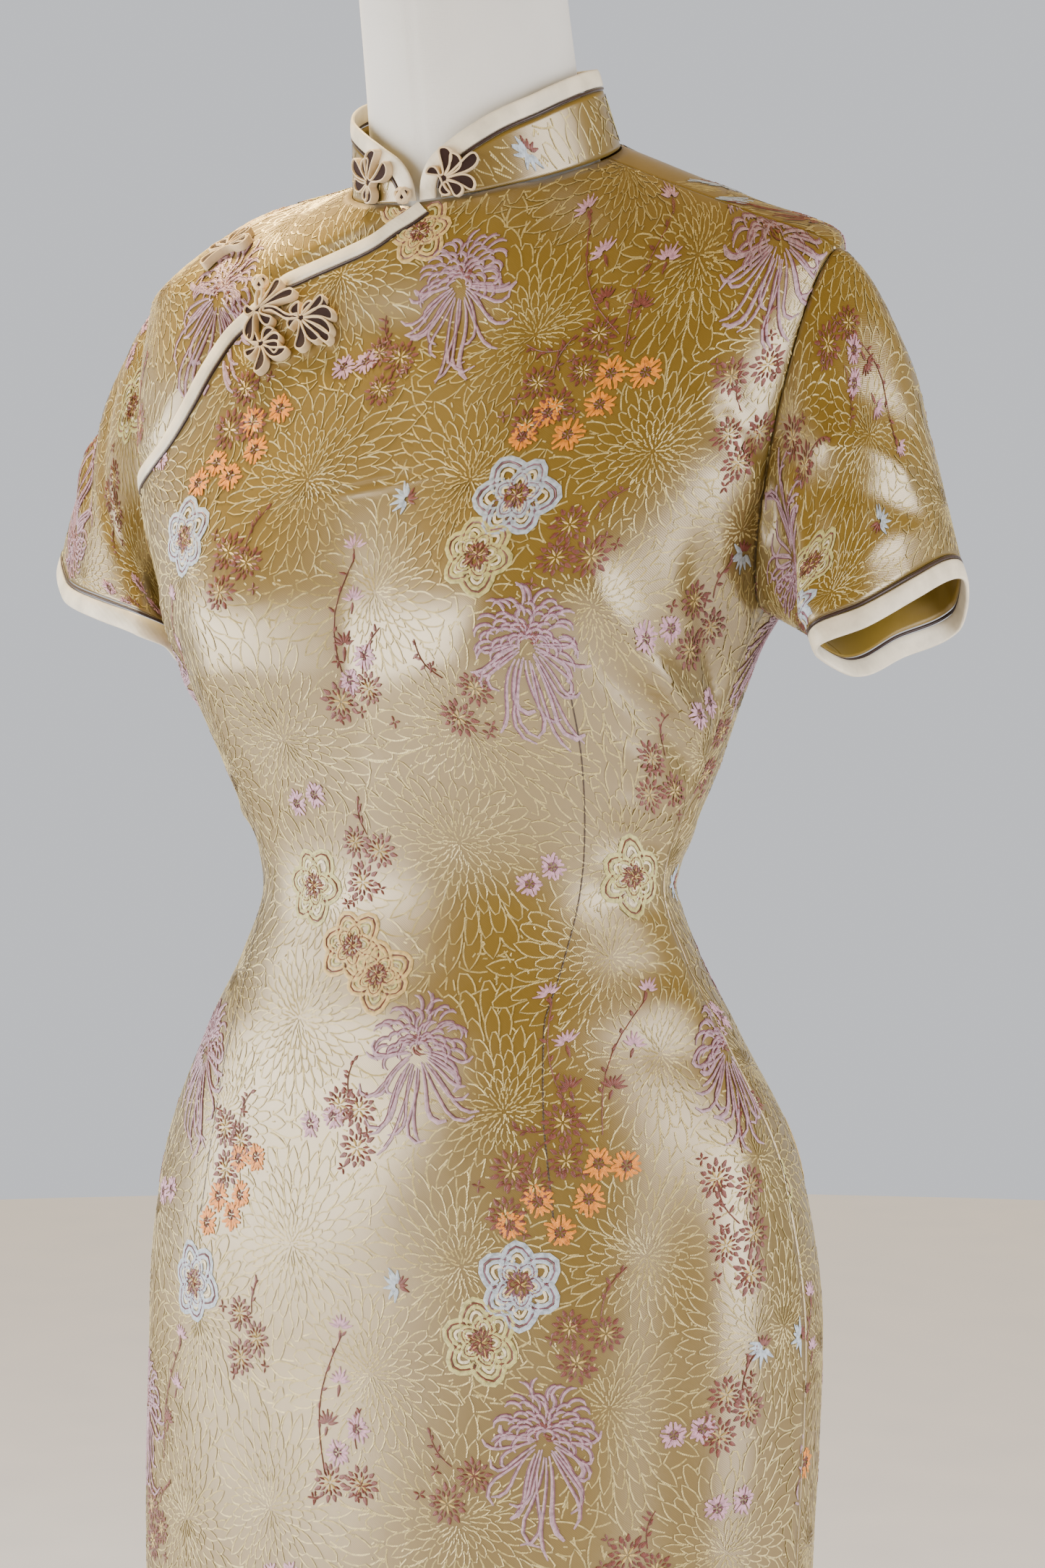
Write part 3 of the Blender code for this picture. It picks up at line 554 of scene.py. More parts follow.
LEFT_SLEEVE_CREASES = (
    Crease((112, 34), (103, 152), 8, 4.4),
    Crease((136, 24), (128, 140), 13, -5.0),
    Crease((72, 52), (30, 110), 6, 2.8),
    Crease((84, 66), (36, 126), 7, -2.4),
    Crease((56, 38), (14, 92), 9, -2.4),
    Crease((10, 40), (-30, 90), 12, 1.4),
    Crease((60, 130), (20, 146), 7, 1.3),
    Crease((-90, 60), (-40, 84), 10, -2.0),
)
RIGHT_SLEEVE_CREASES = (
    Crease((-24, 66), (40, 88), 9, -2.6),
    Crease((-26, 86), (36, 104), 8, 2.4),
    Crease((34, 44), (84, 70), 10, -2.2),
    Crease((-112, 34), (-104, 120), 9, 3.0),
    Crease((-90, 60), (-40, 80), 10, -1.8),
)


def spaced(*stops):
    """Heights in even steps between the stops, given as (height, steps up to the next)."""
    parts = [np.linspace(low, high, steps + 1)[:-1] for (low, steps), (high, _) in zip(stops, stops[1:])]
    return np.concatenate(parts + [[stops[-1][0]]])


def panel_rows():
    armhole = ARMHOLE_MIDDLE + ARMHOLE_REACH * np.cos(np.linspace(math.pi, 0, 47))
    below = spaced((HEM_HEIGHT, 44), (SLIT_TOP, 62), (0.860, 66), (ARMPIT_HEIGHT, 0))[:-1]
    above = spaced((SHOULDER_TIP_HEIGHT, 22), (NECK_HEIGHT - SEAM_GAP, 0))[1:]
    return np.concatenate([below, armhole, above])


def panel_grid(heights, right, left, columns):
    """A panel's grid of surface coordinates, in rows of even height between its two edges."""
    share = np.linspace(0, 1, columns + 1)
    u = right(heights)[:, None] * (1 - share) + left(heights)[:, None] * share
    return u, np.broadcast_to(heights[:, None], u.shape)


def seam_stillness(lay, right, left):
    def still(u, v):
        across, _ = lay.flat(u, v)
        start, _ = lay.flat(right(v), v)
        end, _ = lay.flat(left(v), v)
        return fade(np.minimum(across - start, end - across), 0.0005, 0.013)

    return still


def between(right, left, low, high):
    return lambda u, v: (u > right(v)) & (u < left(v)) & (v > low) & (v < high)


def front_right(height):
    outside = -side_angle(height, ARMHOLE_FRONT)
    return np.where(height < FRONT_NOTCH_HEIGHT - 0.0015, outside, FRONT_RIGHT(height))


def front_left(height):
    return side_angle(height, ARMHOLE_FRONT)


def front_grid(heights):
    """The front's grid, whose outer columns alone bend round the notch under the opening's end."""
    edge, left = front_right(heights), front_left(heights)
    step = FRONT_RIGHT(FRONT_NOTCH_HEIGHT) + side_angle(FRONT_NOTCH_HEIGHT, ARMHOLE_FRONT)
    below = heights < FRONT_NOTCH_HEIGHT - 0.0015
    bent = np.where(below, step * fade(heights, FRONT_NOTCH_HEIGHT - 0.045, FRONT_NOTCH_HEIGHT), 0)
    share = np.linspace(0, 1, 121)
    u = (edge + bent)[:, None] * (1 - share) + left[:, None] * share
    u = u - bent[:, None] * np.clip(1 - share / 0.07, 0, 1)
    return u, np.broadcast_to(heights[:, None], u.shape)


def back_right(height):
    return math.pi - side_angle(height, ARMHOLE_BACK)


def back_left(height):
    return math.pi + side_angle(height, ARMHOLE_BACK)


def under_right(height):
    return -side_angle(height, ARMHOLE_FRONT)


def under_drop(angle, height):
    """How far the under front steps down where the main front and its binding lie on it."""
    line = dress(OPENING_LINE[:, 0], OPENING_LINE[:, 1])
    points = dress(angle, height)
    near = np.linalg.norm(points[..., None, :] - line, axis=-1).min(axis=-1)
    opening = OPENING_SIDE(np.clip(height, OPENING_END, NECK_HEIGHT))
    outside = np.where(points[..., 0] < opening, near, -near)
    return -UNDERLAP_DROP * (1 - fade(outside, 0.003, 0.012))


def sleeve_cloth(hem, side, creases):
    surface = sleeve(hem, side)
    turns = np.linspace(-math.pi, math.pi, 145)
    _, along = tangents(surface, turns, np.ones_like(turns))
    limit = 1 - CLOTH_INSET / np.linalg.norm(along, axis=1)
    share = np.linspace(0, 1, 45)
    grid = (np.broadcast_to(turns, (45, 145)), share[:, None] * limit[None, :])
    lay = Lay(surface, (-math.pi, math.pi), (0.0, 1.0), 0.0, 241, 80)

    def inside(u, v):
        return (v > 0.004) & (v < np.interp(u, turns, limit) - 0.004) & (np.abs(u) < math.pi - 0.01)

    def still(u, v):
        return fade(v, 0.0, 0.10) * fade(np.interp(u, turns, limit) - v, 0.0, 0.09)

    return Cloth(surface, lay, grid, inside, side, creases, lambda u, v: WALL, still)


def collar_line(count=70):
    """The collar's finished edge, from its right front end round the neck to its left."""
    half = np.degrees(math.pi * np.linspace(0, 1, count) ** 1.8)[1:]
    half = np.concatenate([[COLLAR_END_DEGREES, 1.1, 1.4, 2.0], half[half > 2.4]])
    rise = np.maximum(COLLAR_SHARE(half), COLLAR_FOOT)
    right = np.stack([-np.radians(half), rise], 1)
    left = np.stack([np.radians(half) - 2 * math.pi, rise], 1)[::-1]
    return np.concatenate([right, left[1:]])


COLLAR_EDGE = collar_line()


def collar_cloth():
    top = inset(collar, COLLAR_EDGE, CLOTH_INSET)
    top = top[top[:, 1] > 0.05]
    share = np.linspace(0, 1, 13)[:, None]
    u = np.broadcast_to(top[:, 0], (13, len(top)))
    v = COLLAR_FOOT * (1 - share) + top[None, :, 1] * share
    order = np.argsort(top[:, 0])
    lay = Lay(collar, (-2 * math.pi, 0.0), (0.0, 1.0), -math.pi, 361, 40)

    def inside(a, b):
        crown = np.interp(a, top[order, 0], top[order, 1])
        return (b > 0.03) & (b < crown - 0.03) & (a > top[order[0], 0]) & (a < top[order[-1], 0])

    return Cloth(collar, lay, (u, v), inside)


def make_cloths():
    """Every cloth of the garment by its name."""
    rows = panel_rows()
    apart = rows[np.abs(rows - (FRONT_NOTCH_HEIGHT - 0.0015)) > 0.0032]
    front_rows = np.sort(np.concatenate([apart, [FRONT_NOTCH_HEIGHT - 0.003, FRONT_NOTCH_HEIGHT]]))
    front_lay = Lay(dress, (-1.75, 1.75), (HEM_HEIGHT, NECK_HEIGHT), 0.0)
    back_lay = Lay(dress, (math.pi - 1.75, math.pi + 1.75), (HEM_HEIGHT, NECK_HEIGHT), math.pi)
    under_rows = np.unique(np.concatenate([[OPENING_END], rows[rows > OPENING_END + 0.001]]))
    low, high = HEM_HEIGHT + 0.002, NECK_HEIGHT - 0.001
    return {
        "front_panel": Cloth(dress, front_lay, front_grid(front_rows),
                             between(front_right, front_left, low, high), creases=FRONT_CREASES,
                             still=seam_stillness(front_lay, front_right, front_left)),
        "under_front": Cloth(dress, front_lay, panel_grid(under_rows, under_right, UNDER_INNER, 44),
                             between(under_right, UNDER_INNER, OPENING_END, high), drop=under_drop),
        "back_panel": Cloth(dress, back_lay, panel_grid(rows, back_right, back_left, 104),
                            between(back_right, back_left, low, high), creases=BACK_CREASES,
                            still=seam_stillness(back_lay, back_right, back_left)),
        "left_sleeve": sleeve_cloth(LEFT_HEM, 1, LEFT_SLEEVE_CREASES),
        "right_sleeve": sleeve_cloth(RIGHT_HEM, -1, RIGHT_SLEEVE_CREASES),
        "collar_band": collar_cloth(),
    }


CLOTHS = make_cloths()


def place(mesh, table):
    """Moves a grid mesh's vertices to the table's points, and gives each one's row and column."""
    rows, columns = table.shape[:2]
    spots = np.empty(len(mesh.vertices) * 3, np.float32)
    mesh.vertices.foreach_get("co", spots)
    spots = spots.reshape(-1, 3)
    column = np.rint((spots[:, 0] + 0.5) * (columns - 1)).astype(int)
    row = np.rint((spots[:, 1] + 0.5) * (rows - 1)).astype(int)
    mesh.vertices.foreach_set("co", table[row, column].astype(np.float32).ravel())
    return row, column


def grid_faces(name, rows, columns):
    sheet = bmesh.new()
    bmesh.ops.create_grid(sheet, x_segments=columns - 1, y_segments=rows - 1, size=0.5)
    mesh = bpy.data.meshes.new(name)
    sheet.to_mesh(mesh)
    sheet.free()
    return mesh


def give_uv(mesh, lay):
    """A UV map in metres of cloth, from one flat place for each vertex."""
    corners = np.empty(len(mesh.loops), np.int32)
    mesh.loops.foreach_get("vertex_index", corners)
    layer = mesh.uv_layers.new(name="cloth")
    layer.data.foreach_set("uv", lay[corners].astype(np.float32).ravel())


def sheet_mesh(name, points, lay=None, merge=False, toward=None):
    """A grid of points as a mesh. Toward is one outward direction for each point."""
    mesh = grid_faces(name, *points.shape[:2])
    row, column = place(mesh, points)
    if lay is not None:
        give_uv(mesh, lay[row, column])
    mesh.update()
    if toward is not None:
        first = mesh.polygons[len(mesh.polygons) // 2]
        wanted = toward.reshape(-1, 3)[np.argmin(np.linalg.norm(points - np.array(first.center), axis=-1))]
        if np.dot(np.array(first.normal), wanted) < 0:
            mesh.flip_normals()
    if merge:
        closed = bmesh.new()
        closed.from_mesh(mesh)
        bmesh.ops.remove_doubles(closed, verts=closed.verts[:], dist=1e-6)
        if toward is None:
            bmesh.ops.recalc_face_normals(closed, faces=closed.faces[:])
        closed.to_mesh(mesh)
        closed.free()
    return mesh


def add_piece(name, mesh, finishes, replaces=(), smooth=60):
    """Links a finished mesh, and says what it rides on, which slot it has and what it stands for."""
    made = bpy.data.objects.new(name, mesh)
    bpy.context.scene.collection.objects.link(made)
    for finish in finishes:
        mesh.materials.append(finish)
    mesh.shade_smooth()
    mesh.set_sharp_from_angle(angle=math.radians(smooth))
    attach(made, "root")
    if replaces:
        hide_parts(*replaces)
    return made


def add_cloth(name, key, finishes):
    """One cloth of the garment with its wall, standing for its solid."""
    cloth = CLOTHS[key]
    u, v = cloth.grid
    points = cloth.face(u, v)
    toward = normals(cloth.surface, u, v, cloth.outward)
    closed = key.endswith("sleeve")
    mesh = sheet_mesh(name, points, np.stack(cloth.lay.flat(u, v), -1), closed, toward)
    made = add_piece(name, mesh, finishes, [key])
    wall = made.modifiers.new("wall", "SOLIDIFY")
    wall.thickness = WALL
    wall.offset = -1
    wall.material_offset = 1
    wall.material_offset_rim = 1
    return made


def swept(name, sections, closed_path=False, closed_section=True):
    """A mesh through a row of sections, each a loop of points round one place of the path."""
    table = np.asarray(sections)
    if closed_section:
        table = np.concatenate([table, table[:, :1]], axis=1)
    if closed_path:
        table = np.concatenate([table, table[:1]], axis=0)
    mesh = sheet_mesh(name, table, merge=True)
    if closed_section and not closed_path:
        capped = bmesh.new()
        capped.from_mesh(mesh)
        bmesh.ops.holes_fill(capped, edges=capped.edges[:], sides=0)
        bmesh.ops.recalc_face_normals(capped, faces=capped.faces[:])
        capped.to_mesh(mesh)
        capped.free()
    return mesh


def joined(name, meshes, slots=None):
    """Several meshes as one, each with its own material slot if slots are given."""
    whole = bmesh.new()
    for i, mesh in enumerate(meshes):
        start = len(whole.faces)
        whole.from_mesh(mesh)
        whole.faces.ensure_lookup_table()
        for face in whole.faces[start:]:
            face.material_index = slots[i] if slots else 0
        bpy.data.meshes.remove(mesh)
    made = bpy.data.meshes.new(name)
    whole.to_mesh(made)
    whole.free()
    return made


class Strips:
    """Gathers strips of thread in flat cloth coordinates, and lays them all on a cloth as one mesh."""

    def __init__(self, columns=3):
        self.columns = columns
        self.lines, self.widths, self.slots = [], [], []

    def add(self, line, width, slot=0):
        """A strip along a line in metres. Width is its half width at each point."""
        line = np.asarray(line, float)
        self.lines.append(line)
        self.widths.append(np.broadcast_to(np.asarray(width, float), len(line)))
        self.slots.append(slot)

    def mesh(self, name, cloth, low, high):
        counts = np.array([len(line) for line in self.lines])
        line, width = np.concatenate(self.lines), np.concatenate(self.widths)
        owner = np.repeat(np.arange(len(counts)), counts)
        run = np.concatenate([np.gradient(part, axis=0) for part in self.lines])
        run /= np.maximum(np.linalg.norm(run, axis=1, keepdims=True), 1e-9)
        aside = np.stack([-run[:, 1], run[:, 0]], 1) * width[:, None]
        steps = np.linspace(-1, 1, self.columns)
        flat = line[:, None] + aside[:, None] * steps[None, :, None]
        u, v = cloth.lay.worn(flat[..., 0], flat[..., 1])
        across, up = cloth.lay.flat(u, v)
        on_cloth = cloth.inside(u, v) & (np.hypot(across - flat[..., 0], up - flat[..., 1]) < 0.0008)
        lift = np.linspace(low, high, self.columns) if self.columns == 2 else np.array([low, high, low])
        points = cloth.face(u, v, np.broadcast_to(lift, u.shape))
        mesh = grid_faces(name, len(line), self.columns)
        centres = np.empty(len(mesh.polygons) * 3, np.float32)
        mesh.polygons.foreach_get("center", centres)
        centres = centres.reshape(-1, 3)
        at = np.floor((centres[:, 1] + 0.5) * (len(line) - 1)).astype(int)
        beside = np.floor((centres[:, 0] + 0.5) * (self.columns - 1)).astype(int)
        whole = (owner[at] == owner[at + 1])
        for row, column in ((0, 0), (1, 0), (0, 1), (1, 1)):
            whole &= on_cloth[at + row, beside + column]
        mesh.polygons.foreach_set("material_index", np.array(self.slots)[owner[at]].astype(np.int32))
        row, column = place(mesh, points)
        give_uv(mesh, flat[row, column])
        kept = bmesh.new()
        kept.from_mesh(mesh)
        kept.faces.ensure_lookup_table()
        bmesh.ops.delete(kept, geom=[kept.faces[i] for i in np.flatnonzero(~whole)], context="FACES_ONLY")
        bmesh.ops.delete(kept, geom=[v for v in kept.verts if not v.link_faces], context="VERTS")
        if kept.faces:
            kept.faces.ensure_lookup_table()
            probe = kept.faces[len(kept.faces) // 2]
            probe.normal_update()
            spot = np.array(probe.calc_center_median())
            near = np.unravel_index(np.argmin(np.linalg.norm(points - spot, axis=-1)), u.shape)
            wanted = normals(cloth.surface, u[near], v[near], cloth.outward)
            if np.dot(np.array(probe.normal), wanted) < 0:
                bmesh.ops.reverse_faces(kept, faces=kept.faces[:])
        kept.to_mesh(mesh)
        kept.free()
        return mesh


class Finish:
    """Builds one procedural material, node by node."""

    def __init__(self, name):
        self.material = bpy.data.materials.new(name)
        self.material.use_nodes = True
        self.tree = self.material.node_tree
        self.shader = self.tree.nodes["Principled BSDF"]

    def set(self, **values):
        for socket, value in values.items():
            self.shader.inputs[socket.replace("_", " ")].default_value = value
        return self

    def node(self, kind, settings=None, **inputs):
        made = self.tree.nodes.new(kind)
        for key, value in (settings or {}).items():
            setattr(made, key, value)
        for key, value in inputs.items():
            socket = made.inputs[int(key[1:]) if key[0] == "_" else key.replace("_", " ")]
            if isinstance(value, bpy.types.NodeSocket):
                self.tree.links.new(value, socket)
            else:
                socket.default_value = value
        return made

    def math(self, operation, first, second=0.0):
        return self.node("ShaderNodeMath", {"operation": operation}, _0=first, _1=second).outputs[0]

    def ramp(self, factor, *stops):
        made = self.node("ShaderNodeValToRGB", Fac=factor)
        while len(made.color_ramp.elements) < len(stops):
            made.color_ramp.elements.new(0.5)
        for element, (place_at, colour) in zip(made.color_ramp.elements, stops):
            element.position = place_at
            element.color = (*colour, 1.0) if len(colour) == 3 else colour
        return made.outputs["Color"]

    def mix(self, factor, first, second, blend="MIX"):
        made = self.node("ShaderNodeMix", {"data_type": "RGBA", "blend_type": blend})
        for socket, value in ((made.inputs[0], factor), (made.inputs[6], first), (made.inputs[7], second)):
            if isinstance(value, bpy.types.NodeSocket):
                self.tree.links.new(value, socket)
            else:
                socket.default_value = (*value, 1.0) if isinstance(value, tuple) else value
        return made.outputs[2]

    def noise(self, vector, scale, detail=2.0, roughness=0.5):
        made = self.node("ShaderNodeTexNoise", Vector=vector, Scale=scale, Detail=detail, Roughness=roughness)
        return made.outputs["Fac"]

    def place(self, source, scale=(1, 1, 1), turn=(0, 0, 0)):
        return self.node("ShaderNodeMapping", Vector=source, Scale=scale, Rotation=turn).outputs[0]

    def bump(self, *layers):
        """Bump from height sockets, each with its strength and its depth in metres."""
        normal = None
        for height, strength, distance in layers:
            made = self.node("ShaderNodeBump", Height=height, Strength=strength, Distance=distance)
            if normal is not None:
                self.tree.links.new(normal, made.inputs["Normal"])
            normal = made.outputs["Normal"]
        self.tree.links.new(normal, self.shader.inputs["Normal"])

    def link(self, output, socket):
        self.tree.links.new(output, self.shader.inputs[socket])


# The scale at which a wave texture has one wave for each unit of its coordinates
WAVE_SCALE = math.pi / 10


def lines(finish, vector, pitch, turn, stretch=0.02):
    """Fine parallel lines across cloth coordinates, as a socket between 0 and 1."""
    turned = finish.place(finish.place(vector, turn=(0, 0, turn)), scale=(1 / pitch, stretch / pitch, 1))
    made = finish.node("ShaderNodeTexWave", {"bands_direction": "X"}, Vector=turned, Scale=WAVE_SCALE,
                       Distortion=0.6, Detail=1.0)
    return made.outputs["Fac"]


def brocade_finish(settings, name="brocade_satin", reverse=False):
    """Glossy gold satin: pale where it shines, olive gold in shade, with a fine slanting twill."""
    made = Finish(name)
    cloth = made.node("ShaderNodeUVMap", {"uv_map": "cloth"}).outputs["UV"]
    twill = lines(made, cloth, settings.twill_pitch, math.radians(-52))
    slub = made.noise(made.place(cloth, scale=(1100, 160, 1)), 1.0, 3.0)
    speckle = made.noise(made.place(cloth, scale=(700, 700, 1)), 1.0, 2.0)
    drift = made.noise(made.place(cloth, scale=(11, 8, 1)), 1.0, 4.0)
    deep, pale = tuple(settings.satin_shade), tuple(settings.satin_colour)
    ground = made.mix(made.math("MULTIPLY", drift, 0.9), deep, pale)
    ground = made.mix(made.math("MULTIPLY", twill, 0.22), ground, tuple(0.6 * value for value in deep))
    made.link(made.mix(made.math("MULTIPLY", slub, 0.22), ground, pale), "Base Color")
    gloss = made.node("ShaderNodeMapRange", Value=speckle, To_Min=0.26, To_Max=0.38)
    made.link(gloss.outputs[0], "Roughness")
    made.set(Metallic=0.35, IOR=2.5, Sheen_Weight=0.08, Sheen_Roughness=0.4)
    if reverse:
        made.set(Metallic=0.1, IOR=1.5)
    made.bump((drift, 0.35, 0.0016), (slub, 0.09, 0.0002), (twill, 0.22, 0.00012))
    return made.material


def thread_finish(name, colour, shine=0.05, pitch=0.0007, gloss=1.55):
    """Raised silk thread, its stitches side by side across the motif."""
    made = Finish(name)
    cloth = made.node("ShaderNodeUVMap", {"uv_map": "cloth"}).outputs["UV"]
    stitches = lines(made, cloth, pitch, math.radians(38))
    tone = made.noise(made.place(cloth, scale=(420, 420, 1)), 1.0, 2.0)
    dark = tuple(0.55 * value for value in colour)
    light = tuple(min(1.0, 1.25 * value + 0.02) for value in colour)
    base = made.ramp(tone, (0.3, dark), (0.52, colour), (0.75, light))
    made.link(made.mix(made.math("MULTIPLY", stitches, 0.35), base, dark), "Base Color")
    made.set(Roughness=0.45, Metallic=shine, IOR=gloss, Sheen_Weight=0.08, Sheen_Roughness=0.4)
    made.bump((stitches, 0.5, 0.0002))
    return made.material


def satin_trim_finish(name, colour, roughness=0.42, pitch=0.0009, sheen=0.2):
    """Plain bias satin, with its weave running across the strip at a slant."""
    made = Finish(name)
    where = made.node("ShaderNodeTexCoord").outputs["Object"]
    weave = made.noise(made.place(where, scale=(900, 900, 900)), 1.0, 2.0)
    soft = made.noise(made.place(where, scale=(70, 70, 70)), 1.0, 3.0)
    slant = made.node("ShaderNodeTexWave", {"bands_direction": "DIAGONAL"}, Vector=where, Scale=0.159 / pitch,
                      Distortion=1.5, Detail=2.0).outputs["Fac"]
    dark = tuple(0.70 * value for value in colour)
    base = made.ramp(soft, (0.25, dark), (0.6, colour), (0.85, tuple(min(1, 1.1 * v) for v in colour)))
    made.link(made.mix(made.math("MULTIPLY", weave, 0.3), base, dark), "Base Color")
    made.set(Roughness=roughness, IOR=1.45, Sheen_Weight=sheen, Sheen_Roughness=0.35)
    made.bump((soft, 0.3, 0.0008), (slant, 0.25, 0.00012), (weave, 0.35, 0.00014))
    return made.material


def linen_finish(colour):
    """Off-white linen, plain woven, glued smooth over the form."""
    made = Finish("form_linen")
    where = made.node("ShaderNodeTexCoord").outputs["Object"]
    warp = made.noise(made.place(where, scale=(1500, 1500, 120)), 1.0, 2.0)
    weft = made.noise(made.place(where, scale=(160, 160, 1700)), 1.0, 2.0)
    stain = made.noise(made.place(where, scale=(9, 9, 9)), 1.0, 3.0)
    weave = made.math("ADD", warp, weft)
    dark = tuple(0.82 * value for value in colour)
    base = made.ramp(stain, (0.3, dark), (0.65, colour))
    made.link(made.mix(made.math("MULTIPLY", weave, 0.2), base, dark), "Base Color")
    made.set(Roughness=0.82, IOR=1.45, Sheen_Weight=0.15)
    made.bump((weave, 0.35, 0.00025))
    return made.material


def metal_finish(name, colour, roughness=0.34):
    """Satin metal, brushed round, a little worn."""
    made = Finish(name)
    where = made.node("ShaderNodeTexCoord").outputs["Object"]
    brushed = made.noise(made.place(where, scale=(40, 40, 900)), 1.0, 3.0)
    worn = made.noise(made.place(where, scale=(30, 30, 30)), 1.0, 4.0)
    made.link(made.ramp(worn, (0.3, tuple(0.8 * value for value in colour)), (0.7, colour)), "Base Color")
    made.link(made.node("ShaderNodeMapRange", Value=brushed, To_Min=roughness - 0.08,
                        To_Max=roughness + 0.12).outputs[0], "Roughness")
    made.set(Metallic=1.0)
    made.bump((brushed, 0.15, 0.0001))
    return made.material


def plain_finish(name, colour, roughness, grain=60.0, glow=0.0):
    """Smooth paint with faint cloudy tone. Glow keeps a pale floor pale in dim light."""
    made = Finish(name)
    where = made.node("ShaderNodeTexCoord").outputs["Object"]
    tone = made.noise(made.place(where, scale=(grain, grain, grain)), 1.0, 3.0)
    made.link(made.ramp(tone, (0.3, tuple(0.9 * value for value in colour)), (0.7, colour)), "Base Color")
    made.set(Roughness=roughness, Emission_Color=(0.93, 0.95, 1.0, 1.0), Emission_Strength=glow)
    made.bump((tone, 0.05, 0.0002))
    return made.material


# Silk threads of the woven flowers, in the order of their slots
THREADS = {
    "lilac": (0.43, 0.28, 0.35),
    "mauve": (0.19, 0.070, 0.105),
    "maroon": (0.17, 0.040, 0.030),
    "blue": (0.42, 0.50, 0.60),
    "leaf": (0.50, 0.46, 0.17),
    "gold": (0.62, 0.44, 0.16),
    "orange": (0.78, 0.25, 0.012),
    "pink": (0.56, 0.31, 0.42),
    "cream": (0.74, 0.66, 0.46),
}
SLOT_OF = {name: i for i, name in enumerate(THREADS)}


class Motif:
    """Draws one flower in millimetres round its middle, turned and placed on the flat cloth."""

    def __init__(self, strips, across, up, turn=0.0, size=1.0):
        self.strips, self.size = strips, size
        self.middle = np.array([across, up])
        self.cos, self.sin = math.cos(math.radians(turn)), math.sin(math.radians(turn))

    def strip(self, points, widths, thread):
        points = np.asarray(points, float) * self.size
        turned = np.stack([points[:, 0] * self.cos - points[:, 1] * self.sin,
                           points[:, 0] * self.sin + points[:, 1] * self.cos], 1)
        line = (turned + self.middle) / 1000
        self.strips.add(line, np.asarray(widths, float) * self.size / 1000, SLOT_OF[thread])

    def blade(self, degrees, start, end, width, thread, bend=0.0, steps=5, shape=0.5, off=(0, 0), tip=0.15):
        """A leaf-shaped strip that runs outwards, bending to a side by an angle in degrees."""
        t = np.linspace(0, 1, steps)
        angle = math.radians(degrees) + math.radians(bend) * t ** 1.5
        radius = start + (end - start) * t
        points = np.stack([radius * np.cos(angle) + off[0], radius * np.sin(angle) + off[1]], 1)
        widths = width * np.maximum(np.sin(np.pi * (0.12 + 0.80 * t ** shape)), tip)
        self.strip(points, widths, thread)


def spider_mum(draw, rng, thread="lilac", shade="mauve"):
    """A spider chrysanthemum: rows of curled quills above, long hooked petals hanging below."""
    t = np.linspace(0, 1, 7)
    for radius, reach, count in ((20, 12, 17), (15, 11, 14), (10.5, 9.5, 12), (6.5, 8, 9), (2.5, 7, 6)):
        for i in range(count):
            degrees = -30 + 240 * (i + 0.5 + rng.uniform(-0.28, 0.28)) / count
            side = 1 if degrees < 90 + rng.uniform(-25, 25) else -1
            heading = np.radians(degrees + side * (rng.uniform(10, 35) - rng.uniform(75, 150) * t ** 1.4))
            steps = np.stack([np.cos(heading), np.sin(heading)], 1) * (reach * rng.uniform(0.8, 1.15) / 6)
            ray = math.radians(degrees)
            start = np.array([math.cos(ray), math.sin(ray)]) * (radius - 0.55 * reach) + (0, 3)
            points = start + np.cumsum(steps, axis=0)
            draw.strip(points, 0.66 * np.array([0.5, 0.85, 1.0, 1.05, 1.0, 0.85, 0.5]), thread)
            aside = np.stack([-np.sin(heading), np.cos(heading)], 1) * side
            draw.strip((points + aside * 0.98)[1:6], np.full(5, 0.34), shade)
    for i in range(22):
        degrees = -184 + 188 * (i + rng.uniform(0.0, 1.0)) / 22
        down = -math.sin(math.radians(degrees))
        t = np.linspace(0, 1, 9)
        side = 1 if math.cos(math.radians(degrees)) > 0 else -1
        length = (25 + 22 * down ** 2) * rng.uniform(0.75, 1.08)
        droop = -side * rng.uniform(-12, 34) * np.sin(np.pi * np.minimum(t / 0.75, 1) / 2)
        curl = rng.choice((side, side, -side)) * rng.uniform(25, 130)
        hook = curl * (np.clip(t - 0.62, 0, 1) / 0.38) ** 1.5
        heading = np.radians(degrees + droop + hook)
        steps = np.stack([np.cos(heading), np.sin(heading)], 1) * (length / 8)
        ray = math.radians(degrees)
        points = np.array([math.cos(ray), math.sin(ray)]) * rng.uniform(0, 4) + np.cumsum(steps, axis=0)
        feather = 2.3 if i % 6 == 1 else 1.0
        widths = (0.42 + 0.42 * t * feather) * np.minimum(1, (1.12 - t) / 0.25)
        draw.strip(points, widths, thread)
        aside = np.stack([-np.sin(heading), np.cos(heading)], 1) * side
        draw.strip((points + aside * (widths[:, None] + 0.2))[1:8], np.full(7, 0.26), shade)
    for i in range(9):
        degrees, radius = rng.uniform(0, 360), rng.uniform(0.5, 4)
        draw.blade(degrees, radius, radius + 3, 0.7, "maroon", 60, 4, off=(0, 4))


def rosette(draw, rng, at=(0, 0), radius=10.0, thread="maroon", heart="gold", count=12):
    """A small daisy of seed-shaped petals round a fine heart."""
    start = rng.uniform(0, 360)
    for i in range(count):
        degrees = start + 360 * i / count + rng.uniform(-5, 5)
        reach = radius * rng.uniform(0.9, 1.08)
        draw.blade(degrees, radius * 0.62, reach, radius * 0.13, thread, off=at, steps=4)
        draw.blade(degrees + 180 / count, radius * 0.36, radius * 0.66, radius * 0.075, thread,
                   off=at, steps=3)
        if i % 2:
            draw.blade(degrees, radius * 0.08, radius * 0.46, radius * 0.07, heart, off=at, steps=3)


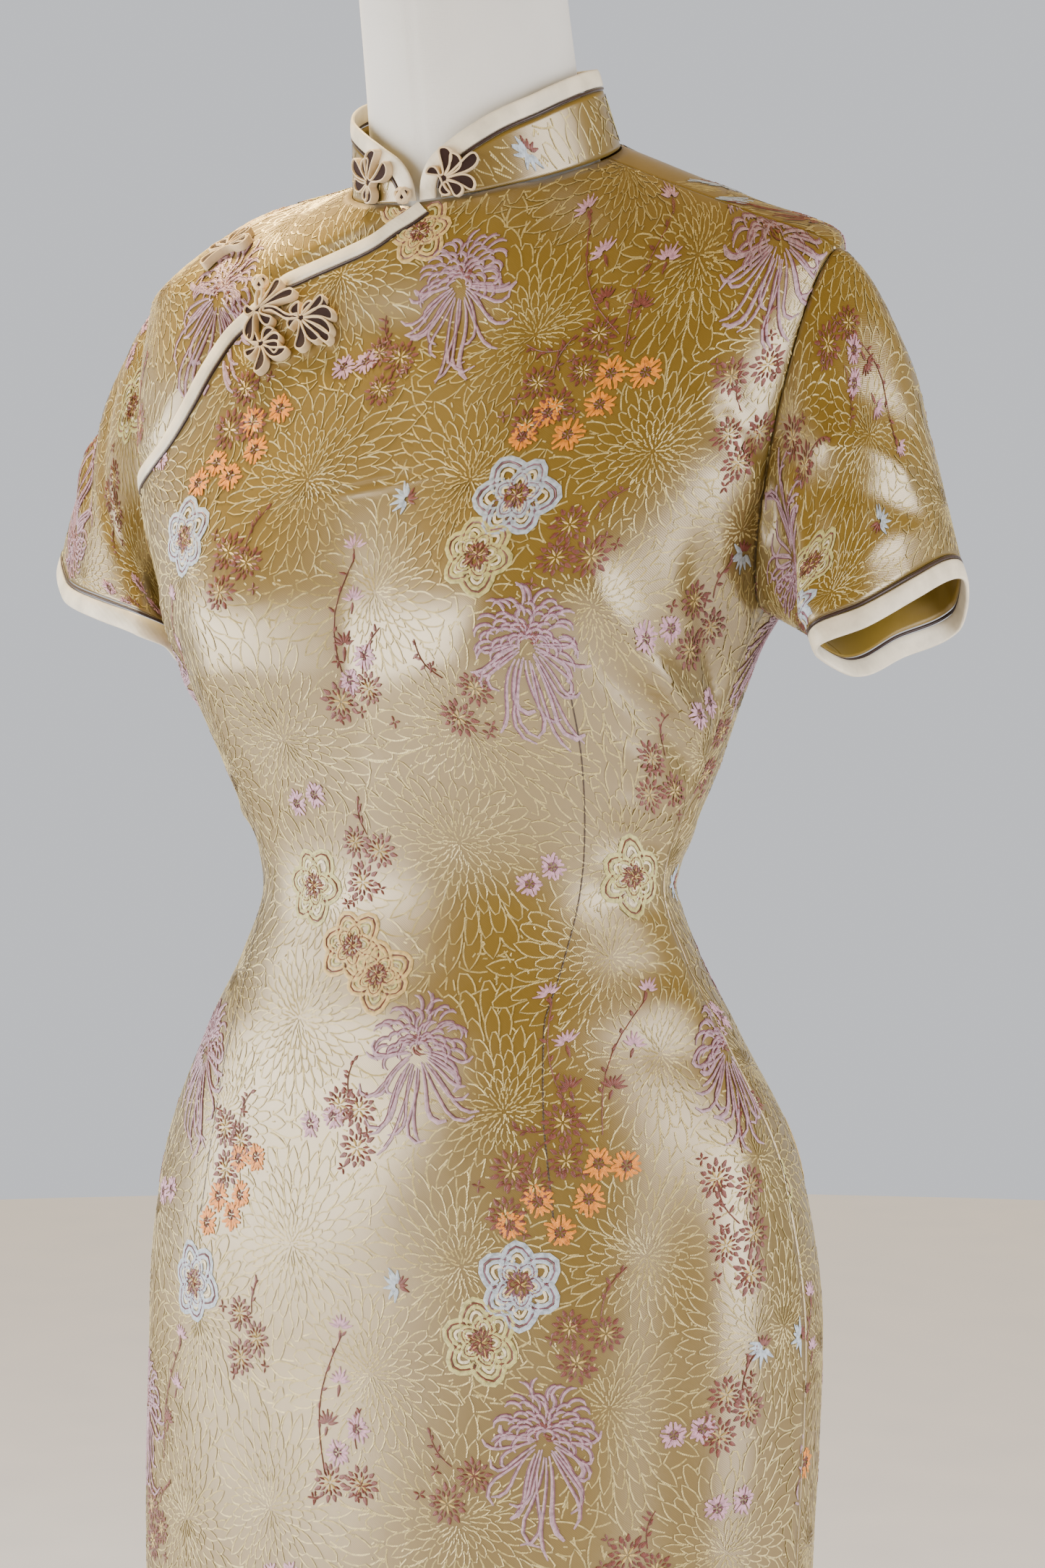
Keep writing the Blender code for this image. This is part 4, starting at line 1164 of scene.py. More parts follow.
def spray(draw, rng, count=3):
    """A cluster of maroon rosettes with a stem and buds."""
    for i in range(count):
        ray = math.radians(rng.uniform(-30, 30) + 360 * i / count)
        far = 9.5 if count > 1 else 0
        rosette(draw, rng, (far * math.cos(ray), 1.2 * far * math.sin(ray)), rng.uniform(8, 10.5))
    stem(draw, rng, (6, 12), (rng.uniform(8, 20), rng.uniform(26, 36)))
    for _ in range(4):
        at = (rng.uniform(-20, 20), rng.uniform(-20, 20))
        for k in range(4):
            draw.blade(90 * k + rng.uniform(-20, 20), 0.5, 3.2, 0.75, "maroon", off=at, steps=3)


def stem(draw, rng, start, end, buds=5):
    """A thin stem that carries seed-like buds."""
    a, b = np.array(start, float), np.array(end, float)
    t = np.linspace(0, 1, 8)[:, None]
    aside = np.array([-(b - a)[1], (b - a)[0]])
    points = a * (1 - t) + b * t + aside * 0.12 * np.sin(np.pi * t)
    draw.strip(points, np.full(8, 0.28), "maroon")
    for i in range(buds):
        spot = points[2 + i] if 2 + i < len(points) else points[-1]
        draw.blade(rng.uniform(20, 160), 0.6, rng.uniform(3.0, 4.6), 0.9, "maroon", off=spot, steps=4)


def blossom(draw, rng, at=(0, 0), radius=8.0, thread="orange", heart="maroon", edge="cream", petals=6):
    """A round-petalled small blossom with an outlined edge and a dark heart."""
    start = rng.uniform(0, 360)
    at = np.array(at) + (rng.uniform(-1.5, 1.5), rng.uniform(-1.5, 1.5))
    for i in range(petals):
        degrees = start + 360 * i / petals + rng.uniform(-6, 6)
        reach = radius * rng.uniform(0.80, 1.12)
        for k in (-1, 0, 1):
            far = reach * (0.90 if k == 0 else rng.uniform(0.92, 1.02))
            draw.blade(degrees + 16 * k, radius * 0.34, far, radius * 0.125, thread, 14 * k, off=at, steps=4,
                       shape=0.8, tip=0.6)
        draw.blade(degrees, radius * 0.30, radius * 0.66, radius * 0.06, edge, 0, 3, off=at)
        draw.blade(degrees + 180 / petals, radius * 0.08, radius * 0.42, radius * 0.09, heart,
                   off=at, steps=3)


def peony(draw, rng, thread="blue", inner="cream", line="mauve", radius=20.0):
    """An open peony: ruffled petals with scalloped rims, pale inner bands, a few curls and a dark heart."""
    turn = rng.uniform(0, 60)
    arc = np.radians(np.linspace(-118, 118, 9))
    swell = np.array([0.4, 0.9] + [1.0] * 5 + [0.9, 0.4])
    for petals, share, first in ((6, 1.0, turn), (5, 0.62, turn + 30)):
        for i in range(petals):
            degrees = first + 360 * i / petals + rng.uniform(-9, 9)
            reach = radius * share * rng.uniform(0.88, 1.08)
            ray = math.radians(degrees)
            middle = 0.56 * reach * np.array([math.cos(ray), math.sin(ray)])
            for size, half, colour in ((0.42, 0.060, thread), (0.335, 0.018, line), (0.26, 0.048, thread),
                                       (0.14, 0.040, inner)):
                ruffle = 1 + 0.09 * np.cos(3.0 * arc + rng.uniform(-0.5, 0.5))
                way = np.stack([np.cos(ray + arc), np.sin(ray + arc)], 1)
                rim = middle + (reach * size * ruffle)[:, None] * way
                draw.strip(rim, radius * share ** 0.5 * half * swell, colour)
            for k in (-1, 0, 1):
                draw.blade(degrees + 9 * k, reach * 0.26, reach * 0.50, radius * 0.030,
                           line if k else "gold", steps=3)
    for i in range(6):
        ray = math.radians(60 * i + rng.uniform(-14, 14))
        middle = radius * 0.20 * np.array([math.cos(ray), math.sin(ray)])
        bend = ray + np.radians(np.linspace(-120, 120, 6))
        curl = middle + radius * 0.085 * np.stack([np.cos(bend), np.sin(bend)], 1)
        draw.strip(curl, np.array([0.3, 0.6, 0.7, 0.7, 0.6, 0.3]), "maroon" if i % 2 else line)
    for i in range(10):
        draw.blade(36 * i, 0.4, rng.uniform(2.4, 3.8), 0.55, "maroon" if i % 3 else "gold", 20, 3)


def sprig(draw, rng, thread="blue"):
    """A half-open sprig with a few spread petals and a maroon bud."""
    for degrees in (95, 118, 140, 165, 195, 230, 262):
        draw.blade(degrees, 1.2, rng.uniform(7, 10), 1.25, thread, rng.uniform(-12, 12), 5)
    for degrees in (10, 40, -20, 65):
        draw.blade(degrees, 1.2, rng.uniform(5, 7), 1.0, "maroon", 0, 4)


def bud_stem(draw, rng):
    """Two buds, one over the other, on a hanging stem."""
    stem(draw, rng, (-8, -34), (4, 30), 6)
    for spot, thread in (((4, 34), "pink"), ((2, 8), "pink"), ((-6, -12), "maroon")):
        for degrees in (10, 35, 60, 85, 110, 135, 160, 260):
            draw.blade(degrees, 1.0, rng.uniform(5.5, 8), 0.95, thread if degrees < 170 else "maroon",
                       0, 4, off=spot)


MOTIFS = {
    "mum": lambda draw, rng: spider_mum(draw, rng),
    "spray": lambda draw, rng: spray(draw, rng),
    "pair": lambda draw, rng: spray(draw, rng, 2),
    "orange": lambda draw, rng: [blossom(draw, rng, at, petals=5) for at in ((0, 3), (-12, -8), (10, -8))],
    "pink": lambda draw, rng: [blossom(draw, rng, at, 7, "pink", "mauve", "lilac", 5)
                               for at in ((-7, 0), (7, 3))],
    "blue_peony": lambda draw, rng: peony(draw, rng),
    "leaf_peony": lambda draw, rng: peony(draw, rng, "leaf", "cream", "maroon", 19),
    "gold_peony": lambda draw, rng: peony(draw, rng, "gold", "leaf", "maroon", 18),
    "sprig": lambda draw, rng: sprig(draw, rng),
    "buds": lambda draw, rng: bud_stem(draw, rng),
}

# The woven design's repeat: the middle of each flower in millimetres of flat cloth, and its turn
DESIGN_HEIGHT = 378
DESIGN_WIDTH = 440
DESIGN = (
    ("mum", 35, 1003, 0), ("mum", 102, 822, -6), ("mum", -176, 808, 14), ("mum", -120, 990, 0),
    ("mum", 200, 1000, 0),
    ("blue_peony", 87, 895, 0), ("leaf_peony", 72, 866, 20), ("blue_peony", -108, 879, 30),
    ("leaf_peony", -38, 704, 0), ("gold_peony", -8, 674, 15), ("leaf_peony", 130, 710, 10),
    ("gold_peony", 4, 1040, 0), ("gold_peony", 204, 716, 0), ("leaf_peony", -190, 700, 0),
    ("gold_peony", -162, 1030, 0), ("leaf_peony", 206, 1040, 20),
    ("spray", 88, 939, 0), ("spray", 2, 964, 30), ("spray", 120, 866, 0), ("spray", -68, 860, 0),
    ("pair", 4, 798, 0), ("pair", 64, 797, 60), ("spray", -3, 716, 20), ("spray", 150, 757, 0),
    ("pair", 190, 940, 0), ("spray", 196, 906, 40), ("spray", -150, 750, 0), ("pair", -190, 930, 0),
    ("pair", 112, 960, 100), ("spray", -86, 946, 0), ("spray", 190, 830, 0),
    ("orange", 97, 928, 0), ("orange", 124, 950, 40), ("orange", -92, 918, 10), ("orange", -72, 940, 60),
    ("pink", -17, 968, 0), ("pink", 6, 812, 40), ("pink", -36, 746, 0), ("pink", 168, 826, 0),
    ("pink", 84, 712, 30), ("pink", -150, 920, 0), ("pink", 190, 790, 0),
    ("sprig", 27, 891, 0), ("sprig", 208, 860, 60), ("sprig", -200, 860, 0), ("sprig", -140, 700, 30),
    ("buds", 136, 996, 0), ("buds", -2, 836, 10), ("buds", -130, 815, -10), ("buds", 108, 1000, 30),
)
GROUND = (
    (79, 975), (-33, 906), (149, 908), (46, 726), (15, 848), (-43, 777), (-38, 1016), (-90, 965),
    (154, 1001), (132, 838), (62, 783), (122, 1048), (61, 902), (-105, 862), (-112, 760), (-114, 1035),
    (-165, 915), (-172, 820), (-185, 735), (-180, 995), (208, 950), (205, 868), (190, 768), (130, 715),
    (215, 1035), (-216, 870), (-30, 700),
)


def repeats(region, shift=(0, 0)):
    """The shifts that bring the design over a region of flat cloth, in millimetres."""
    low_u, high_u, low_v, high_v = region
    for i in range(-3, 4):
        for j in range(-4, 3):
            across, up = shift[0] + i * DESIGN_WIDTH, shift[1] + j * DESIGN_HEIGHT
            if across - 260 < high_u and across + 260 > low_u and up + 660 < high_v and up + 1080 > low_v:
                yield across, up


def within(region, across, up, margin):
    low_u, high_u, low_v, high_v = region
    return low_u - margin < across < high_u + margin and low_v - margin < up < high_v + margin


# Each cloth's part of the design: its region in flat millimetres and where the design starts
CUTS = {
    "front_panel": ((-235, 235, 0, 1056), (0, 0)),
    "under_front": ((-235, 10, 920, 1056), (0, 0)),
    "back_panel": ((-240, 240, 0, 1075), (60, -150)),
    "left_sleeve": ((-190, 190, 0, 190), (30, -770)),
    "right_sleeve": ((-190, 190, 0, 190), (-60, -700)),
    "collar_band": ((-220, 220, 0, 45), (-20, -690)),
}


WOVEN = {}


def coloured_strips(key):
    """The coloured flowers of one cloth, drawn once."""
    if key in WOVEN:
        return WOVEN[key]
    region, shift = CUTS[key]
    rng = random.Random(f"flowers of {key}")
    strips = Strips()
    for across, up in repeats(region, shift):
        for kind, u, v, turn in DESIGN:
            spot = (u + across + rng.uniform(-3, 3), v + up + rng.uniform(-3, 3))
            if within(region, *spot, 45):
                MOTIFS[kind](Motif(strips, *spot, turn + rng.uniform(-6, 6)), rng)
    WOVEN[key] = strips
    return strips


class Weave:
    """Keeps which part of the flat cloth is covered, so that later petals pass under earlier ones."""

    def __init__(self, region, cell=0.6):
        low_u, high_u, low_v, high_v = region
        self.start, self.cell = np.array([low_u - 60.0, low_v - 60.0]), cell
        size = int((high_v - low_v + 120) / cell), int((high_u - low_u + 120) / cell)
        self.covered = np.zeros(size, bool)

    def cells(self, points):
        at = ((points - self.start) / self.cell).astype(int)
        rows, columns = self.covered.shape
        return np.clip(at[..., 1], 0, rows - 1), np.clip(at[..., 0], 0, columns - 1)

    def cover(self, points):
        self.covered[self.cells(points)] = True

    def add_line(self, strips, line, width):
        """Weaves the parts of a line that nothing covers yet, with a point every few millimetres."""
        free = ~self.covered[self.cells(line)]
        edges = np.flatnonzero(np.diff(np.concatenate([[False], free, [False]]).astype(int)))
        for first, last in zip(edges[::2], edges[1::2] - 1):
            length = np.linalg.norm(np.diff(line[first:last + 1], axis=0), axis=1).sum()
            if length > 1.2:
                count = max(2, int(round(length / (2.2 + 1.6 * (width - 0.3) / 0.12))) + 1)
                kept = np.rint(np.linspace(first, last, count)).astype(int)
                strips.add(line[kept] / 1000, width / 1000)


def petal_width(t):
    """A pointed petal's half width from its foot to its tip, as a share of its widest."""
    return np.where(t < 0.5, 0.55 + 0.45 * np.sin(np.pi * np.clip(t, 0, 0.5)), 1 - (2 * t - 1) ** 2)


def head_petals(head, rng):
    """A chrysanthemum head's rings of petals, as (radius, ray, length, half width, bend)."""
    radius, turn = 8.0, rng.uniform(0, 360)
    lean = rng.uniform(-0.5, 0.5)
    while radius < 68:
        width = min(0.95 + 0.080 * radius, 4.5)
        length = 5.2 * width
        count = int(2 * math.pi * (radius + length / 2) / (2.05 * width))
        turn += 180 / count + rng.uniform(-0.2, 0.2) * 360 / count
        for k in range(count):
            ray = math.radians(turn + 360 * (k + rng.uniform(-0.16, 0.16)) / count)
            yield (radius * rng.uniform(0.97, 1.03), ray, length * rng.uniform(0.86, 1.14), width * rng.uniform(0.86, 1.08),
                   (lean + rng.uniform(-0.45, 0.45)) * width, head)
        radius += 0.52 * length


def ground_strips(key):
    """Outlined petals that overlap outwards from each head until they meet the next head's."""
    region, shift = CUTS[key]
    rng = random.Random(f"ground of {key}")
    weave, strips = Weave(region), Strips(2)
    near = np.stack(np.meshgrid([-0.9, 0, 0.9], [-0.9, 0, 0.9]), -1).reshape(-1, 2)
    coloured = coloured_strips(key)
    weave.cover((np.concatenate(coloured.lines) * 1000)[:, None] + near[None])
    heads = [np.array([u + across, v + up]) for across, up in repeats(region, shift) for u, v in GROUND]
    heads = [head for head in heads if within(region, *head, 60)]
    for head in heads:
        for radius, count in ((1.2, 7), (3.4, 13), (5.8, 19), (8.0, 24)):
            for k in range(count):
                ray = 2 * math.pi * (k + rng.uniform(-0.25, 0.25)) / count
                out = np.array([math.cos(ray), math.sin(ray)])
                tip = out * rng.uniform(2.2, 3.2) + np.array([-out[1], out[0]]) * rng.uniform(-0.8, 0.8)
                weave.add_line(strips, head + out * radius + np.linspace(0, 1, 6)[:, None] * tip, 0.34)
        disc = np.stack(np.meshgrid(np.arange(-9, 9.1, 0.5), np.arange(-9, 9.1, 0.5)), -1).reshape(-1, 2)
        weave.cover(head + disc[np.linalg.norm(disc, axis=1) < 9.0])
    petals = [petal for head in heads for petal in head_petals(head, rng)]
    petals.sort(key=lambda petal: petal[0])
    t_line = np.concatenate([np.linspace(0, 1, 13), np.linspace(1, 0, 13)[1:]])
    sign = np.concatenate([np.ones(13), -np.ones(12)])
    fill = np.meshgrid(np.linspace(0, 1, 26), np.linspace(-0.94, 0.94, 11))
    t_fill, s_fill = (grid.ravel() for grid in fill)
    for radius, ray, length, width, bend, head in petals:
        out = np.array([math.cos(ray), math.sin(ray)])
        side = np.array([-out[1], out[0]])
        if not within(region, *(head + out * (radius + length / 2)), 6):
            continue
        if weave.covered[weave.cells(head + out * (radius + length * 0.9))]:
            continue
        along = radius + length * t_line
        aside = sign * width * petal_width(t_line) + bend * t_line ** 2
        line = head + out * along[:, None] + side * aside[:, None]
        weave.add_line(strips, line, min(0.30 + 0.0030 * radius, 0.42))
        along = radius + length * t_fill
        weave.cover(head + out * along[:, None]
                    + side * (s_fill * width * petal_width(t_fill) + bend * t_fill ** 2)[:, None])
    return strips


# Dart seams of the front, from the bust over the waist to the hip, in flat millimetres
DARTS = (
    ((117, 800), (106, 720), (94, 640), (98, 590), (106, 535)),
    ((-117, 800), (-106, 720), (-94, 640), (-98, 590), (-106, 535)),
)


def dart_strips(lines):
    """Each dart's seam line as one thin strip, with a point every 2.4 millimetres. The cloth is not drawn in: the
    strip's dark thread is partly the seam's stitches and partly painted shade of the seam's groove.
    """
    strips = Strips(3)
    for corners in lines:
        corners = np.array(corners, float)
        run = np.concatenate([[0], np.cumsum(np.linalg.norm(np.diff(corners, axis=0), axis=1))])
        even = np.arange(0, run[-1], 2.4)
        line = np.stack([np.interp(even, run, corners[:, i]) for i in (0, 1)], 1)
        strips.add(line / 1000, 0.00042)
    return strips


class CheongsamSettings(bpy.types.PropertyGroup):
    """Colours and sizes of the garment that a user would change."""
    satin_colour: FloatVectorProperty(name="Satin colour", description="The brocade ground where it catches light",
                                      subtype="COLOR", size=3, default=(0.27, 0.185, 0.034))
    satin_shade: FloatVectorProperty(name="Satin shade", description="The brocade ground's deeper gold",
                                     subtype="COLOR", size=3, default=(0.145, 0.086, 0.007))
    outline_colour: FloatVectorProperty(name="Outline thread", description="Thread of the outlined ground flowers",
                                        subtype="COLOR", size=3, default=(0.50, 0.40, 0.15))
    binding_colour: FloatVectorProperty(name="Binding colour", description="Cream satin of the bindings",
                                        subtype="COLOR", size=3, default=(0.78, 0.71, 0.56))
    frog_colour: FloatVectorProperty(name="Frog colour", description="Tan-cream bias satin of the frogs",
                                     subtype="COLOR", size=3, default=(0.70, 0.54, 0.33))
    piping_colour: FloatVectorProperty(name="Piping colour", description="Dark cord and the frogs' filling",
                                       subtype="COLOR", size=3, default=(0.030, 0.014, 0.012))
    twill_pitch: FloatProperty(name="Twill pitch", description="Distance between the satin's twill lines",
                               subtype="DISTANCE", unit="LENGTH", default=0.0008, min=0.0003, max=0.005)
    relief: FloatProperty(name="Flower relief", description="How far the woven flowers stand off the cloth",
                          subtype="DISTANCE", unit="LENGTH", default=0.0006, min=0.0001, max=0.002)


class CheongsamStageSettings(bpy.types.PropertyGroup):
    """Light and floor of the stage."""
    key_power: FloatProperty(name="Key light", description="Power of the wide soft light from the front right hand",
                             subtype="POWER", unit="POWER", default=150.0, min=0.0)
    side_power: FloatProperty(name="Side light", description="Power of the soft light from the wearer's left",
                              subtype="POWER", unit="POWER", default=85.0, min=0.0)
    warm_power: FloatProperty(name="Warm light", description="Power of the small warm light over the shoulder",
                              subtype="POWER", unit="POWER", default=330.0, min=0.0)
    room_light: FloatProperty(name="Room light", description="Strength of the light all round",
                              subtype="FACTOR", default=0.85, min=0.0, max=5.0)
    room_shade: FloatVectorProperty(name="Room shade", description="The room's dim side, towards the camera",
                                    subtype="COLOR", size=3, default=(0.085, 0.080, 0.070))
    room_top: FloatVectorProperty(name="Room top", description="The warm light of the ceiling",
                                  subtype="COLOR", size=3, default=(0.62, 0.36, 0.045))
    floor_colour: FloatVectorProperty(name="Floor colour", description="Plain pale floor",
                                      subtype="COLOR", size=3, default=(0.84, 0.85, 0.89))


FINISHES = {}


def finish(name, make):
    """A material made once and shared by the pieces that wear it."""
    if name not in FINISHES:
        FINISHES[name] = make()
    return FINISHES[name]


def brocade(settings):
    return [finish("face", lambda: brocade_finish(settings)),
            finish("reverse", lambda: brocade_finish(settings, "brocade_reverse", True))]


def binding_satin(settings):
    return finish("binding", lambda: satin_trim_finish("binding_satin", tuple(settings.binding_colour)))


def piping_cord(settings):
    return finish("piping", lambda: satin_trim_finish("piping_satin", tuple(settings.piping_colour), 0.38))


def outline_thread(settings):
    return finish("outline", lambda: thread_finish("outline_thread", tuple(settings.outline_colour),
                                                   0.25, 0.0009,
                                                   1.9))


def frog_satin(settings):
    return finish("frog", lambda: satin_trim_finish("frog_satin", tuple(settings.frog_colour), 0.5, 0.0012))


def frog_filling():
    return finish("filling", lambda: satin_trim_finish("frog_filling", (0.020, 0.005, 0.003), 0.9, sheen=0.0))


# Flat cut of each cloth in metres: width, length, and the names of what carries it
SHEETS = {
    "front_panel": (0.500, 1.085, ["form_shell"]),
    "back_panel": (0.520, 1.105, ["form_shell"]),
    "under_front": (0.190, 0.155, ["form_shell"]),
    "left_sleeve": (0.370, 0.185, ["front_cloth", "back_cloth"]),
    "right_sleeve": (0.360, 0.165, ["front_cloth", "back_cloth"]),
    "collar_band": (0.410, 0.040, ["front_cloth", "back_cloth"]),
}
CLOTH_NAMES = {
    "front_panel": "front_cloth",
    "under_front": "under_front_cloth",
    "back_panel": "back_cloth",
    "left_sleeve": "left_sleeve_cloth",
    "right_sleeve": "right_sleeve_cloth",
    "collar_band": "collar_cloth",
}


def declare_sheet(key):
    width, length, carriers = SHEETS[key]
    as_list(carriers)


def bound_section(rise, depth, width, samples=4):
    """A rounded strip's section, as (share across, height) pairs from its finished edge to its sewn one."""
    low, high = -depth + rise, rise
    middle, half = (low + high) / 2, (high - low) / 2
    nose = [(half * (1 - math.cos(a)) / width, middle + half * math.sin(a))
            for a in np.linspace(-math.pi / 2, math.pi / 2, 7)]
    top = [(share, high + 0.0003 * 4 * share * (1 - share)) for share in np.linspace(0.22, 0.93, samples)]
    heel = [(0.985, high - 0.0003), (1.0, high - 0.0008), (1.0, low + 0.0002), (0.97, low)]
    base = [(share, low) for share in (0.75, 0.45)]
    return nose + top + heel + base


def binding_mesh(name, surface, edge, inner, outward, closed, base):
    """A bias strip folded over a cloth's edge, ruled between its finished edge and its seam."""
    rings = []
    for share, height in bound_section(BINDING_RISE, BINDING_THICKNESS, BINDING_WIDTH):
        at = edge * (1 - share) + inner * share
        up = normals(surface, at[:, 0], at[:, 1], outward)
        rings.append(surface(at[:, 0], at[:, 1]) + up * (base + height))
    return swept(name, np.stack(rings, 1), closed_path=closed)


def tube_mesh(name, points, up, radius, closed, sides=10):
    """A round cord along a line of points."""
    run = np.gradient(points, axis=0)
    if closed:
        run = np.roll(points, -1, axis=0) - np.roll(points, 1, axis=0)
    run /= np.linalg.norm(run, axis=1, keepdims=True)
    first = np.cross(up, run)
    first /= np.linalg.norm(first, axis=1, keepdims=True)
    second = np.cross(run, first)
    rings = [points + radius * (math.cos(a) * first + math.sin(a) * second)
             for a in np.linspace(0, 2 * math.pi, sides + 1)[:-1]]
    return swept(name, np.stack(rings, 1), closed_path=closed)


def trim(prefix, surface, edge, inner, line, outward=1, closed=False, base=0.0):
    """One binding and the piping at its inner edge, each standing for its solid."""
    settings = bpy.context.scene.cheongsam
    band = binding_mesh(f"{prefix}_bias_binding", surface, edge, inner, outward, closed, base)
    add_piece(f"{prefix}_bias_binding", band, [binding_satin(settings)], [f"{prefix}_binding"])
    u, v = line[:, 0], line[:, 1]
    up = normals(surface, u, v, outward)
    points = surface(u, v) + up * (base + BINDING_RISE - PIPING_RADIUS)
    add_piece(f"{prefix}_cord_piping", tube_mesh(f"{prefix}_cord_piping", points, up, PIPING_RADIUS, closed),
              [piping_cord(settings)], [f"{prefix}_piping"])


def cuff_trim(key, hem, side):
    surface = sleeve(hem, side)
    turns = np.linspace(-math.pi, math.pi, 145)[:-1]
    _, along = tangents(surface, turns, np.ones_like(turns))
    reach = np.linalg.norm(along, axis=1)
    edge = np.stack([turns, np.ones_like(turns)], 1)
    inner = np.stack([turns, 1 - BINDING_WIDTH / reach], 1)
    line = np.stack([turns, 1 - PIPING_CENTRE / reach], 1)
    trim(f"{key}_cuff", surface, edge, inner, line, side, True, WALL)


def on_surface(surface, angle, height, plan):
    """Lays a plan in metres on a surface round a point, keeping its sizes there."""
    at = math.radians(angle)
    across, along = tangents(surface, np.array(at), np.array(height))
    first = across / np.linalg.norm(across)
    second = np.cross(normals(surface, np.array(at), np.array(height)), first)
    moves = plan[:, :1] * first + plan[:, 1:] * second
    table = np.stack([across, along], 1)
    shifts = np.array([np.linalg.lstsq(table, move, rcond=None)[0] for move in moves])
    u, v = at + shifts[:, 0], height + shifts[:, 1]
    return surface(u, v), normals(surface, u, v)


def smooth_loop(corners, per_side):
    """A closed Catmull-Rom curve through the corners."""
    t = np.linspace(0, 1, per_side, endpoint=False)[:, None]
    before, after, later = np.roll(corners, 1, 0), np.roll(corners, -1, 0), np.roll(corners, -2, 0)
    parts = []
    for a, b, c, d in zip(before, corners, after, later):
        parts.append(0.5 * (2 * b + (c - a) * t + (2 * a - 5 * b + 4 * c - d) * t ** 2
                            + (3 * b - a - 3 * c + d) * t ** 3))
    return np.concatenate(parts)


def frog_plan(petals, rng):
    """The folded strip's path in metres: out along each petal, round its curled tip and back."""
    corners = []
    sides = ((0.0, 0.16), (0.3, 0.55), (0.6, 0.95), (0.85, 1.0), (1.0, 0.5))
    for degrees, length in sorted(((degrees % 360, length) for degrees, length in petals), reverse=True):
        curl = rng.choice((-1, 1)) * rng.uniform(6, 22)
        wide = min(0.235 * length, 2.9)
        for share, width in sides + tuple((share, -width) for share, width in reversed(sides)):
            radius = 2.3 + share * (length - 2.3)
            angle = math.radians(degrees + curl * share ** 2)
            ahead = np.array([math.cos(angle), math.sin(angle)])
            corners.append(ahead * radius + np.array([-ahead[1], ahead[0]]) * width * wide)
    return smooth_loop(np.array(corners), 3) / 1000


def standing_strip(surface, angle, height, plan, low, high, half=0.00052):
    """A cream strip set on edge along a closed path, and the dark filling that it encloses."""
    points, up = on_surface(surface, angle, height, plan)
    run = np.roll(points, -1, axis=0) - np.roll(points, 1, axis=0)
    aside = np.cross(up, run)
    aside /= np.linalg.norm(aside, axis=1, keepdims=True)
    base = points + up * (0.0003 * np.sin(np.linspace(0, 14 * math.pi, len(points))))[:, None]
    section = [(-half, low), (half, low), (half, high - half), (0.5 * half, high), (-0.5 * half, high),
               (-half, high - half)]
    wall = swept("strip", np.stack([base + aside * x + up * y for x, y in section], 1), closed_path=True)
    inside = bmesh.new()
    floor = inside.faces.new([inside.verts.new(spot) for spot in points + up * (high - 0.0007)])
    floor.normal_update()
    if np.dot(np.array(floor.normal), up[0]) < 0:
        floor.normal_flip()
    bmesh.ops.triangulate(inside, faces=inside.faces[:], ngon_method="EAR_CLIP")
    filling = bpy.data.meshes.new("filling")
    inside.to_mesh(filling)
    inside.free()
    return [wall, filling]


def frog_mesh(frog, surface, rng):
    """Cream bias strip folded over a dark filling and set on edge in looped petals."""
    low, high = frog.lift - 0.0004, frog.lift + 0.0043
    parts = standing_strip(surface, frog.angle, frog.height, frog_plan(frog.petals, rng), low, high)
    return joined(frog.replaced + "_strip", parts, [0, 1])


def hub(frog):
    place_at, up = on_surface(dress, frog.angle, frog.height, np.zeros((1, 2)))
    return place_at[0], up[0]


def link_mesh(name, first, second):
    """The S-shaped double strip between two frogs."""
    start, up = hub(first)
    end, _ = hub(second)
    across, _ = tangents(dress, np.array(math.radians(first.angle)), np.array(first.height))
    across = across / np.linalg.norm(across)
    beside = np.cross(up, across)
    reach = np.array([(end - start) @ across, (end - start) @ beside])
    t = np.linspace(0.10, 0.90, 22)
    aside = np.array([-reach[1], reach[0]]) / np.linalg.norm(reach)
    line = reach * t[:, None] + aside * (0.0019 * np.sin(2 * math.pi * t))[:, None]
    run = np.gradient(line, axis=0)
    run /= np.linalg.norm(run, axis=1, keepdims=True)
    wide = np.stack([-run[:, 1], run[:, 0]], 1) * 0.0011
    plan = np.concatenate([line + wide, (line - wide)[::-1]])
    parts = standing_strip(dress, first.angle, first.height, plan, 0.0004, 0.0052)
    return joined(name, parts, [0, 1])


def tab_mesh(name, frog, knot):
    """The cord loop that reaches from a frog's middle over the binding to its ball knot."""
    start, up = hub(frog)
    end, _ = on_surface(dress, knot[0], knot[1], np.zeros((1, 2)))
    end = end[0]
    reach = end - start
    aside = np.cross(up, reach)
    aside /= np.linalg.norm(aside)
    turn = np.linspace(0, 2 * math.pi, 48, endpoint=False)
    along = 0.52 - 0.48 * np.cos(turn)
    rise = 0.0038 + 0.0010 * np.sin(np.pi * along)
    path = start + reach * along[:, None] + aside * (0.0019 * np.sin(turn))[:, None] + up * rise[:, None]
    return tube_mesh(name, path, np.broadcast_to(up, path.shape), 0.00105, True, 10)


def knot_mesh(name, surface, place_at):
    """A ball button tied from folded strip, with the strands crossing over it."""
    angle, height, lift = place_at
    centre, up = on_surface(surface, angle, height, np.zeros((1, 2)))
    turn = np.linspace(0, 2 * math.pi, 180, endpoint=False)
    lon, lat = 3 * turn, 1.15 * np.sin(4 * turn)
    radius = KNOT_RADIUS - 0.0011
    path = radius * np.stack([np.cos(lat) * np.cos(lon), np.cos(lat) * np.sin(lon), np.sin(lat)], 1)
    strand = tube_mesh("strand", path, path / np.linalg.norm(path, axis=1, keepdims=True), 0.00115, True, 8)
    ball = bmesh.new()
    bmesh.ops.create_uvsphere(ball, u_segments=20, v_segments=12, radius=KNOT_RADIUS - 0.0012)
    core = bpy.data.meshes.new("core")
    ball.to_mesh(core)
    ball.free()
    whole = joined(name, [strand, core], [0, 1])
    whole.transform(Matrix.Translation(Vector((centre + up * (lift + KNOT_RADIUS))[0])))
    return whole


